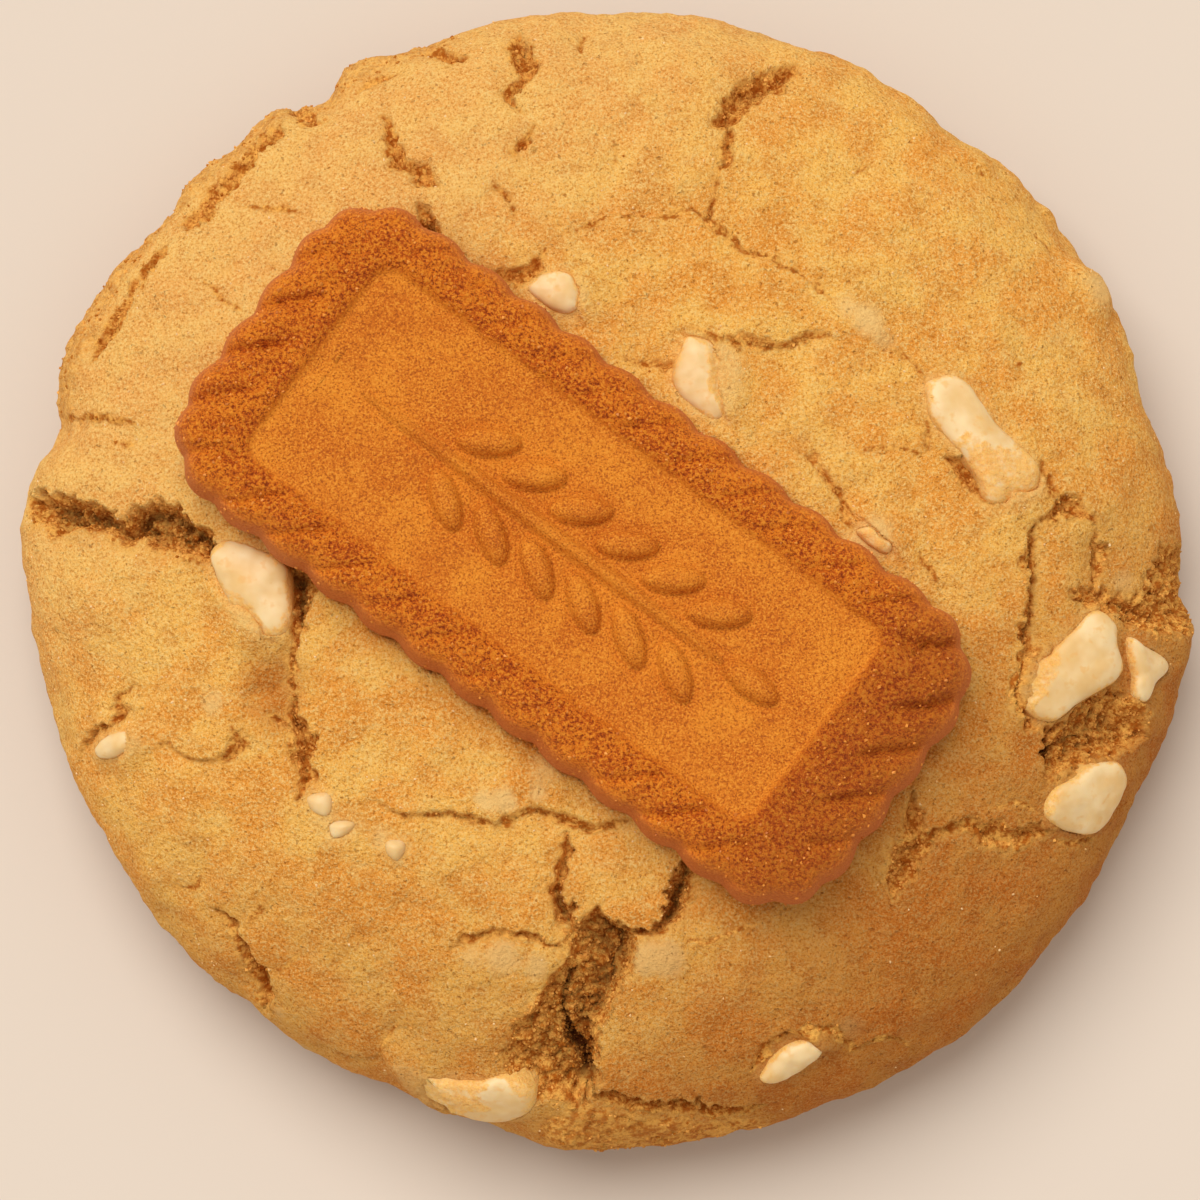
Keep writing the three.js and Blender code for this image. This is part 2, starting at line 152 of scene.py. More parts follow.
# Matt painted board: flat and pale, so that only the soft shadow shows on it
table_paint = finish_material(new_material("matt painted board"), {
    "Base Color": linear(TABLE_COLOUR),
    "Roughness": 0.9,
    "Specular IOR Level": 0.1,
})
half_table = TABLE_SIZE / 2
table_corners = [(x * half_table, y * half_table, -TABLE_DROP)
                 for x, y in ((-1, -1), (1, -1), (1, 1), (-1, 1))]
table = new_piece("table", table_corners, [(0, 1, 2, 3)], table_paint)
table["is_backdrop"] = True


# ---------------------------------------------------------------- the cookie's crust
# A thick soft-baked cookie: dough that domed in the oven, set on its base and tore along jagged
# cracks as it rose. Its skin is sandy with sugar, and the torn insides are moist coarse crumb.
COOKIE_HEIGHT = 21.0  # millimetres, as all sizes of the shapes are from here on
WAIST_HEIGHT = 7.0
DOME_POWER = 3.4
FLANK = [(0.89, 0.0), (0.92, 0.5), (0.965, 2.4), (0.992, 4.6)]  # share of widest radius, height
EDGE_RADII = np.array([
    47.3, 47.6, 48.5, 48.2, 48.1, 47.9, 47.7, 47.5, 46.8, 47.6, 47.9, 47.3,
    47.8, 46.4, 46.1, 46.0, 45.5, 45.8, 46.6, 46.7, 47.2, 47.4, 47.4, 47.9,
])
# Bulges and dents of the edge: degrees counter-clockwise from +X, half width in degrees, millimetres
EDGE_BUMPS = [
    (4, 8, 0.7), (20, 5, -1.1), (36, 8, -0.5), (52, 4, -0.75), (105, 6, -0.35), (115, 3, 0.8),
    (120, 2.5, -0.9), (125, 3, 1.0), (141, 4, -0.6), (158, 5, 0.9), (165, 3, -0.9), (173, 5, 0.65),
    (183, 4, -0.4), (190, 4, 0.4), (202, 5, 0.35), (220, 6, -0.4), (230, 4, -0.85), (250, 4, -0.5),
    (265, 4, 0.45), (307, 5, 0.3), (346, 5, 0.3), (355, 4, 1.1),
]
# Longest edges of the crust's mesh: at first, in and by a crack, near one, on the open skin, on the
# side, and where the biscuit hides it or nothing shows
FIRST_STEP = 2.0
CRACK_STEP = 0.27
NEAR_STEP = 0.5
CRUST_STEP = 1.0
FLANK_STEP = 0.7
FOOT_STEP = 0.84
HIDDEN_STEP = 1.4
# Where those lengths hold: distances from an edge, from the waist and from the biscuit's outline
CRACK_BAND = 0.36
NEAR_BAND = 1.0
FLANK_BAND = 3.5
FOOT_BELOW_WAIST = 3
FOOT_CLEAR = 1.2
HIDDEN_INSET = 2.2
RASTER = 0.25
RASTER_HALF = 70.0
RASTER_REACH = 3
FAR = 9.0
# Uneven layers of the surface: size of the lumps, their height or share, and seed
SKIN_LAYERS = [(9.0, 0.34, 1), (4.1, 0.24, 2), (1.9, 0.19, 3)]
FLANK_LAYERS = [(3.1, 0.28, 14), (1.1, 0.12, 15), (0.6, 0.09, 16)]
BROKEN_LAYERS = [(1.3, 0.35, 17), (0.7, 0.25, 18)]
EDGE_LAYERS = [(1.1, 0.30, 6), (0.46, 0.42, 7)]
CRUMB_LAYERS = [(1.25, 0.5, 8), (0.62, 0.5, 9)]
LIP_LAYERS = [(1.7, 0.3, 33), (0.7, 0.1, 34)]
LUMP_STRAY = 0.5
PATCH_STRAY, PATCH_SPREAD = 0.6, 1.7
# Sink at which the crumb's painted shade is darkest
FULL_SHADE_DEPTH = 4.2
BROKEN_SIDE = (102, 108, 160, 168)  # degrees counter-clockwise from +X between which the side is torn

# Cracks, seen from above: depth, by how much the left side stands above the right one, and points
# of x, y and width
CRACKS = {
    "west": (3.6, 0.55, [
        (-46.7, 6.7, 0.8), (-46.0, 5.6, 2.2), (-44.6, 4.7, 2.6), (-42.2, 4.2, 1.9), (-40.2, 3.5, 1.5),
        (-38.9, 2.6, 1.6), (-37.0, 3.1, 2.6), (-35.4, 2.7, 2.9), (-34.2, 2.2, 2.4), (-32.4, 1.4, 1.9),
        (-31.0, 0.8, 1.0),
    ]),
    "south": (3.1, 0.3, [
        (-0.3, -28.2, 3.4), (-0.5, -30.2, 4.0), (-1.0, -32.2, 3.8), (-1.5, -34.1, 4.0), (-2.7, -35.9, 4.0),
        (-3.7, -37.6, 5.2), (-4.0, -39.6, 6.0), (-3.9, -41.2, 5.0), (-2.6, -42.6, 3.2), (-2.4, -43.8, 1.4),
    ]),
    "south deep": (5.4, 0.35, [
        (-1.7, -32.2, 0.6), (-3.2, -34.7, 1.1), (-3.3, -36.6, 1.4), (-2.9, -38.5, 1.9), (-1.8, -40.4, 1.9),
        (-1.4, -42.3, 1.4), (-1.3, -43.2, 0.6),
    ]),
    "south hole": (3.6, 0.0, [(-4.3, -43.5, 0.7), (-3.9, -44.2, 0.8)]),
    "plate west": (3.6, 0.2, [
        (-2.8, -21.7, 0.3), (-2.8, -23.5, 0.5), (-3.5, -25.1, 0.7), (-3.8, -26.9, 1.1), (-3.5, -28.4, 1.5),
        (-2.4, -29.6, 1.4),
    ]),
    "plate east": (4.2, -0.35, [
        (7.1, -23.0, 1.4), (6.8, -25.2, 1.4), (6.1, -27.4, 1.4), (5.3, -29.0, 1.2), (4.2, -29.8, 0.8),
        (2.6, -29.9, 0.7), (0.7, -29.7, 0.8), (-1.2, -29.5, 1.0),
    ]),
    "south lip": (2.2, 0.45, [
        (-0.9, -42.7, 1.1), (1.5, -43.3, 1.2), (3.4, -43.6, 1.2), (6.0, -43.9, 1.3), (8.0, -44.1, 1.4),
        (10.6, -44.1, 1.1), (13.2, -43.5, 0.4),
    ]),
    "middle": (1.3, 0.4, [
        (-18.4, -19.3, 0.2), (-15.8, -20.3, 0.3), (-12.4, -20.4, 0.3), (-10.4, -20.9, 0.7),
        (-8.5, -21.1, 0.8), (-6.3, -20.5, 0.5), (-4.2, -20.4, 0.5), (-2.8, -21.2, 0.6), (-0.8, -21.6, 0.6),
        (1.1, -21.2, 0.4), (2.4, -20.8, 0.3),
    ]),
    "under shelf": (1.5, 0.35, [
        (-12.2, -31.2, 0.4), (-11.0, -30.5, 0.6), (-8.5, -30.2, 0.7), (-5.6, -30.3, 0.6),
        (-4.8, -31.0, 0.8), (-3.6, -31.1, 0.3),
    ]),
    "shallow": (0.6, 0.0, [(-16.7, -27.1, 0.3), (-15.0, -27.9, 0.4), (-12.2, -28.4, 0.3)]),
    "west hole": (4.0, 0.0, [
        (-25.4, 0.4, 0.6), (-24.9, -1.0, 1.7), (-24.5, -2.6, 1.6), (-24.6, -4.6, 0.9), (-24.8, -6.4, 0.7),
    ]),
    "west spine": (2.4, 0.5, [
        (-24.8, -6.2, 0.6), (-25.2, -8.3, 0.7), (-25.1, -10.6, 0.8), (-25.2, -12.6, 0.9),
        (-24.3, -14.2, 1.3), (-24.3, -16.4, 1.4), (-24.0, -17.7, 1.1), (-24.8, -18.9, 0.7),
    ]),
    "west branch": (1.6, -0.3, [(-27.4, -12.4, 0.3), (-26.2, -12.7, 0.7), (-24.9, -13.3, 0.9)]),
    "hook": (1.2, -0.3, [
        (-29.9, -13.3, 0.4), (-29.2, -14.5, 1.2), (-29.7, -15.4, 0.9), (-31.8, -16.0, 0.5),
        (-34.1, -15.5, 0.4), (-35.3, -14.4, 0.4), (-36.4, -14.9, 0.3),
    ]),
    "far west": (1.4, -0.4, [
        (-38.5, -9.8, 0.4), (-39.5, -11.0, 0.7), (-39.1, -12.1, 0.7), (-41.3, -13.1, 0.9),
        (-42.6, -14.7, 0.7),
    ]),
    "south-west a": (0.7, 0.0, [(-35.3, -25.4, 0.3), (-33.4, -26.2, 0.5), (-32.6, -24.6, 0.3)]),
    "south-west b": (2.4, 0.3, [
        (-31.6, -27.8, 0.3), (-30.0, -29.4, 0.8), (-29.2, -31.3, 1.2), (-28.3, -33.4, 1.8),
        (-27.8, -35.6, 1.2),
    ]),
    "south-west c": (0.6, 0.0, [(-26.6, -27.2, 0.3), (-28.1, -28.2, 0.4), (-29.3, -29.0, 0.3)]),
    "south-west d": (0.6, 0.0, [(-24.3, -31.7, 0.3), (-25.8, -32.5, 0.4), (-27.0, -32.8, 0.3)]),
    "south-west e": (0.5, 0.0, [(-19.5, -30.2, 0.3), (-20.1, -31.4, 0.3)]),
    "south-west f": (0.7, 0.0, [(-16.6, -36.9, 0.3), (-17.4, -38.2, 0.4), (-18.2, -39.6, 0.3)]),
    "south-west rim": (1.0, 0.25, [
        (-23.3, -38.6, 0.4), (-20.8, -39.5, 0.6), (-18.2, -39.6, 0.5), (-17.3, -40.4, 0.4),
    ]),
    "north-west a": (1.7, 0.6, [
        (-26.4, 36.9, 1.4), (-29.3, 34.4, 2.0), (-30.9, 32.3, 2.2), (-33.0, 30.2, 2.1), (-35.0, 29.0, 1.2),
    ]),
    "north-west b": (1.5, 0.6, [
        (-35.9, 27.4, 1.2), (-37.4, 25.2, 1.5), (-39.3, 22.7, 1.5), (-40.7, 20.2, 1.4), (-42.1, 17.5, 1.0),
    ]),
    "north-west notch": (1.6, 0.0, [(-25.7, 39.4, 1.0), (-24.3, 37.9, 1.2), (-22.6, 37.6, 0.5)]),
    "north-west lip": (1.0, 0.0, [(-20.4, 40.0, 0.5), (-18.4, 41.2, 0.9), (-16.8, 42.0, 0.5)]),
    "north pit": (1.8, 0.0, [(-14.8, 43.9, 0.9), (-12.3, 42.7, 1.1), (-11.2, 42.9, 0.8)]),
    "north": (2.2, 0.15, [
        (-7.0, 45.2, 0.9), (-6.9, 43.2, 1.5), (-6.5, 41.5, 1.3), (-7.2, 40.0, 1.0), (-7.8, 38.9, 0.9),
        (-6.4, 37.6, 0.6),
    ]),
    "north middle": (1.8, 0.15, [
        (-5.6, 36.7, 0.8), (-6.2, 35.6, 0.7), (-6.9, 33.8, 0.9), (-6.8, 32.9, 0.4),
    ]),
    "north foot": (1.3, 0.1, [(-8.8, 31.2, 0.7), (-8.2, 30.6, 0.5), (-7.7, 29.9, 0.6), (-7.3, 28.0, 0.4)]),
    "north top": (1.0, 0.0, [(-1.7, 44.9, 0.8), (-1.9, 43.4, 0.5)]),
    "north fork": (2.2, 0.0, [
        (-18.2, 38.1, 0.4), (-17.4, 35.7, 0.6), (-16.7, 33.8, 0.7), (-15.9, 33.1, 0.5), (-14.6, 32.0, 1.3),
        (-13.2, 31.2, 0.6),
    ]),
    "biscuit hole": (5.0, 0.0, [(-15.1, 29.4, 1.1), (-14.4, 28.2, 1.6), (-13.3, 26.8, 1.3)]),
    "beside biscuit": (2.2, 0.0, [
        (-9.6, 24.3, 0.5), (-8.0, 23.2, 0.9), (-6.4, 23.7, 1.3), (-5.3, 24.5, 1.0), (-4.6, 25.8, 0.4),
    ]),
    "north short": (0.8, 0.0, [(1.1, 35.1, 0.3), (0.9, 32.3, 0.3)]),
    "north-west c": (0.6, 0.0, [(-32.7, 23.6, 0.3), (-31.1, 22.1, 0.4), (-29.4, 21.1, 0.3)]),
    "north-west d": (0.5, 0.0, [(-30.0, 30.0, 0.4), (-27.4, 29.8, 0.3), (-24.7, 29.1, 0.3)]),
    "west step": (0.5, 0.25, [(-44.6, 13.3, 0.3), (-41.4, 12.6, 0.4), (-38.3, 11.7, 0.3)]),
    "west pits": (0.6, 0.0, [(-39.8, 10.4, 0.5), (-38.0, 10.0, 0.4)]),
    "north-east": (2.6, 0.0, [
        (9.2, 36.4, 0.8), (10.4, 37.2, 1.5), (12.1, 39.1, 1.8), (13.8, 40.7, 1.6), (16.3, 42.2, 0.8),
    ]),
    "north-east tail": (1.6, 0.15, [
        (10.4, 36.8, 0.8), (10.3, 34.5, 0.8), (9.7, 32.4, 0.6), (9.1, 29.6, 0.5), (8.9, 28.3, 0.4),
    ]),
    "arc": (0.55, -0.3, [
        (-2.1, 27.2, 0.4), (-0.7, 27.9, 0.7), (0.6, 28.7, 0.6), (2.9, 28.4, 0.3), (4.9, 28.3, 0.5),
        (7.0, 29.0, 0.6), (8.9, 28.1, 0.9), (9.9, 27.1, 0.8), (12.3, 25.5, 0.8), (15.2, 24.0, 0.6),
        (17.4, 22.6, 0.6), (18.7, 21.4, 0.3),
    ]),
    "inner arc": (1.0, 0.5, [
        (7.2, 18.8, 0.8), (10.0, 18.0, 0.8), (11.9, 17.7, 0.9), (13.9, 17.5, 0.6), (16.1, 18.3, 0.5),
        (18.9, 18.4, 0.3),
    ]),
    "arc end": (0.6, 0.0, [(20.1, 17.6, 0.3), (21.7, 15.4, 0.3)]),
    "above bar": (0.8, 0.0, [(23.6, 17.3, 0.3), (25.7, 15.9, 0.5), (26.1, 14.6, 0.5)]),
    "left of slab": (1.4, 0.0, [(2.1, 16.4, 0.3), (4.6, 15.8, 0.7), (6.2, 16.0, 0.6)]),
    "bar west": (1.4, 0.0, [(26.2, 11.4, 0.4), (26.7, 8.7, 0.7)]),
    "bar south": (2.2, 0.2, [(27.8, 8.6, 0.5), (29.4, 7.4, 1.3), (30.1, 5.9, 0.9), (31.5, 4.5, 0.5)]),
    "bar east": (1.2, 0.0, [(35.8, 8.3, 0.5), (36.7, 5.8, 0.7), (39.2, 5.2, 0.4)]),
    "thin a": (0.7, 0.0, [(20.0, 8.5, 0.3), (22.4, 9.3, 0.3), (26.0, 9.0, 0.3)]),
    "thin b": (1.4, 0.0, [(15.8, 9.1, 0.3), (18.0, 7.0, 0.5), (19.2, 4.7, 0.8), (20.0, 2.4, 0.6)]),
    "thin c": (0.6, 0.0, [(25.5, 0.8, 0.3), (26.6, -1.3, 0.4), (27.2, -2.3, 0.3)]),
    "thin d": (0.7, 0.0, [(22.3, 34.7, 0.3), (21.4, 33.1, 0.4), (20.4, 31.8, 0.3)]),
    "thin e": (0.5, 0.0, [(32.4, 16.0, 0.3), (34.8, 17.0, 0.3)]),
    "east spine": (2.0, -1.1, [
        (34.9, 3.4, 0.5), (34.8, 1.6, 0.8), (34.7, -0.4, 0.7), (34.5, -3.5, 0.8), (34.3, -5.6, 1.2),
        (34.3, -7.4, 1.2), (33.4, -9.4, 0.8), (33.2, -11.2, 0.7), (34.5, -12.8, 0.8), (35.6, -13.9, 0.9),
    ]),
    "east pit": (1.8, 0.8, [(40.2, 3.4, 0.4), (40.4, 1.8, 0.9), (40.5, -0.1, 1.1), (40.3, -1.4, 1.0)]),
    "east top": (1.6, 0.3, [(35.6, 3.6, 0.9), (37.4, 4.4, 1.2), (39.4, 4.4, 0.9), (40.2, 3.4, 0.5)]),
    "east short": (0.6, 0.0, [(29.3, -9.8, 0.3), (31.8, -10.5, 0.3)]),
    "below southeast piece": (1.4, 0.0, [(37.0, -22.2, 0.5), (38.9, -22.3, 0.8), (40.6, -21.8, 0.4)]),
    "south-east a": (2.0, 0.25, [
        (24.9, -18.6, 0.7), (25.1, -19.9, 1.1), (25.0, -21.5, 1.2), (25.7, -22.6, 1.4), (24.3, -23.7, 2.0),
        (23.8, -25.3, 1.8), (23.4, -27.2, 1.0),
    ]),
    "south-east b": (1.5, 0.35, [
        (25.9, -22.5, 0.8), (27.9, -21.6, 0.6), (29.8, -21.0, 0.6), (31.0, -21.9, 1.4), (32.9, -22.3, 1.4),
        (35.1, -21.7, 1.0), (36.7, -21.4, 0.4),
    ]),
    "south-east c": (1.0, 0.0, [(31.1, -19.9, 0.4), (33.7, -19.4, 0.5), (35.5, -20.1, 0.5)]),
    "over south piece": (1.0, 0.25, [
        (11.8, -40.8, 0.5), (13.7, -38.6, 0.7), (15.0, -37.8, 0.8), (17.9, -37.5, 0.8), (19.6, -38.3, 0.5),
        (20.8, -39.0, 0.4), (23.1, -37.9, 0.4), (25.2, -38.8, 0.3),
    ]),
    "by pale piece": (0.6, 0.0, [(6.9, -30.4, 0.4), (8.6, -30.7, 0.4), (12.7, -29.1, 0.3)]),
    "edge pit a": (0.8, 0.0, [(31.0, 33.3, 0.5), (31.8, 32.3, 0.5)]),
    "edge pit b": (0.8, 0.0, [(35.7, 28.6, 0.6), (37.4, 26.3, 0.6)]),
    "edge pit c": (0.6, 0.0, [(41.0, 15.6, 0.4), (41.2, 14.6, 0.4)]),
}
# Places where a lump broke away: depth and outline
HOLLOWS = {
    "north of east piece": (1.8, [
        (37.8, -2.1), (39.2, -1.6), (42.1, -2.0), (43.3, -2.4), (44.1, -1.5), (44.9, 0.3), (45.9, 2.5),
        (47.4, 2.2), (48.1, -2.7), (46.9, -4.6), (44.6, -5.0), (42.0, -4.1), (39.7, -3.3),
    ]),
    "south of east piece": (2.4, [
        (35.9, -14.4), (36.0, -13.2), (37.3, -12.7), (39.2, -10.9), (41.1, -9.9), (42.8, -10.4),
        (44.1, -11.5), (43.8, -13.9), (41.8, -15.3), (39.2, -16.1), (36.7, -17.1), (35.7, -16.3),
    ]),
    "beside it": (4.5, [(35.8, -14.0), (36.8, -14.2), (36.7, -15.7), (35.8, -16.0)]),
    "south foot": (0.3, [
        (-5.0, -44.5), (-3.7, -44.2), (-1.1, -43.6), (3.4, -44.4), (8.0, -44.9), (12.8, -44.5),
        (12.3, -45.4), (4.8, -46.7), (-1.1, -46.9), (-4.7, -45.8),
    ]),
}
# Chocolate just under the skin shows as paler dough: x, y, radius, strength
PALE_PATCHES = [
    (-31.5, -11.5, 1.3, 0.7), (-10.4, -31.6, 1.4, 0.6), (-8.1, -31.8, 1.7, 1.0), (-5.4, -32.5, 1.3, 0.7),
    (3.6, -31.9, 1.6, 0.9), (5.6, -31.9, 1.6, 0.9), (19.8, 21.0, 1.3, 0.6), (21.4, 19.6, 1.5, 0.8),
    (22.8, 18.1, 1.2, 0.6), (-4.6, -17.0, 1.6, 0.5), (20.0, -37.1, 1.4, 0.6), (42.6, -0.9, 1.3, 0.6),
    (40.4, 23.6, 2.1, 0.8), (-26.3, -36.0, 1.0, 0.7), (-24.3, -38.7, 1.0, 0.8), (-9.6, -19.6, 0.9, 0.9),
    (-7.6, -19.3, 1.0, 0.9), (-5.2, -18.9, 1.0, 0.7), (-17.8, -22.3, 1.4, 0.6), (-22.0, -20.8, 1.6, 0.5),
    (-39.4, -14.2, 2.2, 0.5), (-12.6, -42.2, 2.0, 0.9), (-9.4, -42.4, 1.6, 0.8), (21.6, 1.8, 1.9, 0.9),
    (37.4, 19.0, 1.2, 0.4), (38.0, 14.0, 1.2, 0.4),
]
# Lumps that stand out of the crust: x, y, radius, height
LUMPS = [
    (40.4, 23.6, 2.8, 0.9), (30.9, 34.4, 1.8, 0.7), (37.2, 30.6, 1.3, 0.6), (4.6, -31.9, 2.6, 0.45),
    (-8.0, -32.2, 3.2, 0.35), (-7.5, -19.4, 2.6, 0.4), (-39.4, -14.0, 2.6, 0.4), (21.4, 19.6, 2.4, 0.3),
    (-3.0, -45.8, 2.0, 0.5), (-26.6, -9.3, 2.8, -0.7), (-26.8, -11.6, 2.4, -0.6), (44.4, -12.6, 1.6, 0.4),
]
# Places painted browner: x, y, radius, strength. Beside the west spine and in the hollow north of the
# east piece this is painted shade on a slope and in a hollow; elsewhere the crust is browner
BROWN_PATCHES = [
    (-26.4, -9.6, 2.6, 0.75), (-26.6, -12.0, 2.2, 0.6), (-13.0, 25.6, 2.2, 0.6), (-9.0, 22.6, 1.8, 0.7),
    (44.8, -3.6, 2.6, 0.8), (27.0, -12.4, 1.6, 0.5), (-42.6, 4.0, 2.0, 0.4), (-32.5, 1.0, 1.4, 0.4),
]

# Chocolate pieces, which need pockets in the crust: side that dough covers (degrees counter-clockwise
# from +X), how far the dough reaches in, how far a thin film of it does, and outline
CHUNKS = {
    "chunk_west": (215, 0.16, 0.24, [
        (-31.5, 1.3), (-30.5, 1.8), (-29.0, 1.6), (-27.2, 0.9), (-25.9, 0.2), (-25.3, -0.9), (-25.1, -3.2),
        (-25.2, -5.0), (-25.9, -6.1), (-27.6, -6.0), (-29.3, -4.6), (-30.5, -2.6), (-31.4, -0.9),
        (-31.8, 0.4),
    ]),
    "chunk_north": (20, 0.2, 0.3, [
        (-6.1, 22.2), (-4.6, 23.4), (-3.0, 23.5), (-1.6, 22.4), (-1.6, 20.8), (-2.9, 20.0), (-4.4, 20.5),
    ]),
    "chunk_centre": (20, 0.45, 0.55, [
        (7.0, 18.4), (8.9, 18.1), (10.7, 16.9), (11.1, 14.6), (10.5, 12.2), (8.9, 11.2), (7.4, 12.2),
        (6.0, 13.6), (5.7, 15.4), (6.3, 17.0),
    ]),
    "chunk_northeast": (300, 0.08, 0.52, [
        (26.0, 14.4), (27.4, 15.3), (28.9, 15.2), (30.6, 13.4), (31.8, 11.6), (34.0, 9.6), (35.3, 8.0),
        (35.4, 6.1), (33.1, 4.8), (31.1, 5.0), (30.1, 7.2), (28.2, 9.5), (26.7, 11.8),
    ]),
    "chunk_east": (165, 0.12, 0.28, [
        (39.2, -3.9), (40.5, -3.6), (41.6, -4.7), (41.7, -6.2), (42.3, -7.9), (41.7, -9.0), (39.3, -10.6),
        (37.0, -12.6), (35.4, -12.7), (33.9, -11.4), (33.7, -10.0), (34.9, -8.3), (36.7, -6.6),
        (37.9, -5.2),
    ]),
    "chunk_east_rim": (250, 0.1, 0.2, [
        (42.7, -5.7), (43.6, -5.9), (44.9, -6.4), (46.0, -7.3), (45.9, -8.2), (44.8, -9.3), (44.1, -10.6),
        (43.3, -10.9), (43.0, -9.8), (43.1, -8.6), (42.8, -7.2),
    ]),
    "chunk_southeast": (200, 0.0, 0.08, [
        (39.8, -15.8), (41.8, -15.5), (42.6, -16.6), (42.3, -18.0), (41.5, -19.6), (40.5, -21.1),
        (39.3, -21.6), (37.6, -21.5), (36.1, -20.7), (35.7, -19.6), (36.5, -18.0), (38.2, -17.0),
    ]),
    "chunk_south": (60, 0.15, 0.2, [
        (12.5, -41.2), (13.4, -39.9), (14.7, -38.8), (16.4, -38.2), (17.8, -38.4), (17.3, -39.7),
        (15.5, -40.9), (13.5, -41.6),
    ]),
    "chunk_south_rim": (165, 0.35, 0.55, [
        (-16.6, -40.1), (-14.9, -40.5), (-12.9, -41.1), (-10.0, -41.3), (-7.6, -41.2), (-5.4, -42.4),
        (-5.8, -43.8), (-8.0, -44.6), (-11.2, -44.0), (-14.6, -42.6),
    ]),
    "chunk_by_biscuit": (50, 0.3, 1.0, [(20.3, 2.4), (21.8, 2.9), (23.4, 1.6), (23.0, 0.4), (21.6, 1.0)]),
    "chunk_far_west": (330, 0.25, 0.35, [
        (-41.2, -14.5), (-40.4, -13.6), (-39.1, -13.2), (-37.6, -13.6), (-37.4, -14.5), (-39.1, -15.3),
        (-40.7, -15.4),
    ]),
}
# Small nibs: x, y and radius; each has five uneven corners
NIBS = {"nib_1": (-22.6, -19.6, 1.2), "nib_2": (-21.0, -21.5, 1.1), "nib_3": (-16.6, -23.3, 0.95)}
NIB_CORNERS = (1.2, 0.85, 1.15, 0.8, 1.05)
NIB_FLATNESS = 0.8
CHUNK_DEPTH = 4.6
NIB_DEPTH = 1.3
CLEARANCE = 0.3  # round a piece that is baked in
COVER_HEIGHT = 0.75  # of dough that reaches over a piece
COVER_PRESS = 0.5  # by which it pushes the piece down
# A crack's run is jagged, and its torn edge lies a little outside the dark that is measured. It
# tapers and loses its lift over a few steps of the run at both ends
RUN_STEP = 0.5
JAG, JAG_SIZE = 0.26, 1.1
DEEP_CRACK = 1.5
WIDENING, DEEP_WIDENING = 1.1, 1.3
END_WIDTH, TAPER_STEPS = 0.25, 4
LIFT_STEPS = 6
CRACK_REACH = 8  # how far from a crack its lift and its shoulders are worked out
RIM_REACH = 3
POCKET_REACH = 4
# The width's variation along a crack: half widths, and by what share they vary
VARIATION = ([0.3, 0.9], [0.8, 0.3])
VARIATION_SIZE = 1.9
EDGE_IN, EDGE_OUT = -0.12, 0.06  # between which the torn edge falls away
LEAST_SINK = 0.12
CRUMB_RELIEF = 1.7  # of the crumb in a wide crack, at most
LIFT_FADE = 3.2
SHOULDER_DROP = 0.28
SHALLOW_SHOULDER, DEEP_SHOULDER = 1.1, 0.6

# The biscuit's outline, which needs a dent in the crust
BISCUIT_LENGTH = 65.7
BISCUIT_WIDTH = 29.2
BISCUIT_CORNER = 7.4
BISCUIT_CENTRE = np.array([-2.45, 0.35])
BISCUIT_TURN = math.radians(-37.0)
BISCUIT_UNDERSIDE = 19.4
LOBE_COUNT = 38
LOBE_DEPTH = 0.55
NOTCH_ROUNDING = 0.25
LOBE_STRAY, LOBE_STRAY_SIZE = 0.06, 6.0  # by which the lobes and ribs are unevenly spaced


def lumps(points, size, seed):
    """Smooth repeatable lumps between -1 and 1, one to each size."""
    place = np.asarray(points) / size
    cell = np.floor(place).astype(np.int64)
    part = place - cell
    ease = part * part * (3 - 2 * part)
    total = np.zeros(len(place))
    for corner in itertools.product((0, 1), repeat=place.shape[1]):
        # Large odd numbers scramble the corner's place into a height that looks like chance
        key = (cell + corner) @ np.array([73856093, 19349663, 83492791][:place.shape[1]]) + seed * 1013904223
        key = (key ^ (key >> 15)) * 668265263 & 0xFFFFFFFF
        key = (key ^ (key >> 13)) * 374761393 & 0xFFFFFFFF
        share = np.prod(np.where(corner, ease, 1 - ease), axis=1)
        total += share * ((key ^ (key >> 16)) & 0xFFFF) / 32767.5
    return total - 1


def uneven(points, layers, ridged=False):
    """Layers of lumps added up, each given by its size, height and seed."""
    heights = [(height, lumps(points, size, seed)) for size, height, seed in layers]
    return sum(height * (np.abs(layer) if ridged else layer) for height, layer in heights)


def heading(degrees):
    """The direction at an angle counter-clockwise from +X."""
    return math.cos(math.radians(degrees)), math.sin(math.radians(degrees))


def ramp(value, low, high):
    """Ease from 0 at low to 1 at high."""
    share = np.clip((value - low) / (high - low), 0, 1)
    return share * share * (3 - 2 * share)


def edge_radius(turn):
    place = (turn / math.tau * len(EDGE_RADII)) % len(EDGE_RADII)
    first = np.floor(place).astype(int) % len(EDGE_RADII)
    ease = ramp(place - first, 0, 1)
    return EDGE_RADII[first] * (1 - ease) + EDGE_RADII[(first + 1) % len(EDGE_RADII)] * ease


# The side profile from the top's middle out and down to the base, and the distance along it
dome_turns = np.linspace(math.pi / 2, 0, 400)
dome_rise = COOKIE_HEIGHT - WAIST_HEIGHT
profile = [(math.cos(t) ** (2 / DOME_POWER), WAIST_HEIGHT + dome_rise * math.sin(t)) for t in dome_turns]
profile = np.array(profile + FLANK[::-1])
mean_radius = EDGE_RADII.mean()
profile_steps = np.hypot(np.diff(profile[:, 0]) * mean_radius, np.diff(profile[:, 1]))
profile_reach = np.concatenate([[0], np.cumsum(profile_steps)])
waist_reach = profile_reach[len(dome_turns) - 1]


def on_cookie(spots):
    """Spots of the crust laid out flat, put in their places on the cookie."""
    reach = np.hypot(spots[:, 0], spots[:, 1])
    turn = np.arctan2(spots[:, 1], spots[:, 0])
    radius = np.interp(reach, profile_reach, profile[:, 0]) * edge_radius(turn)
    height = np.interp(reach, profile_reach, profile[:, 1])
    return np.stack([radius * np.cos(turn), radius * np.sin(turn), height], axis=1)


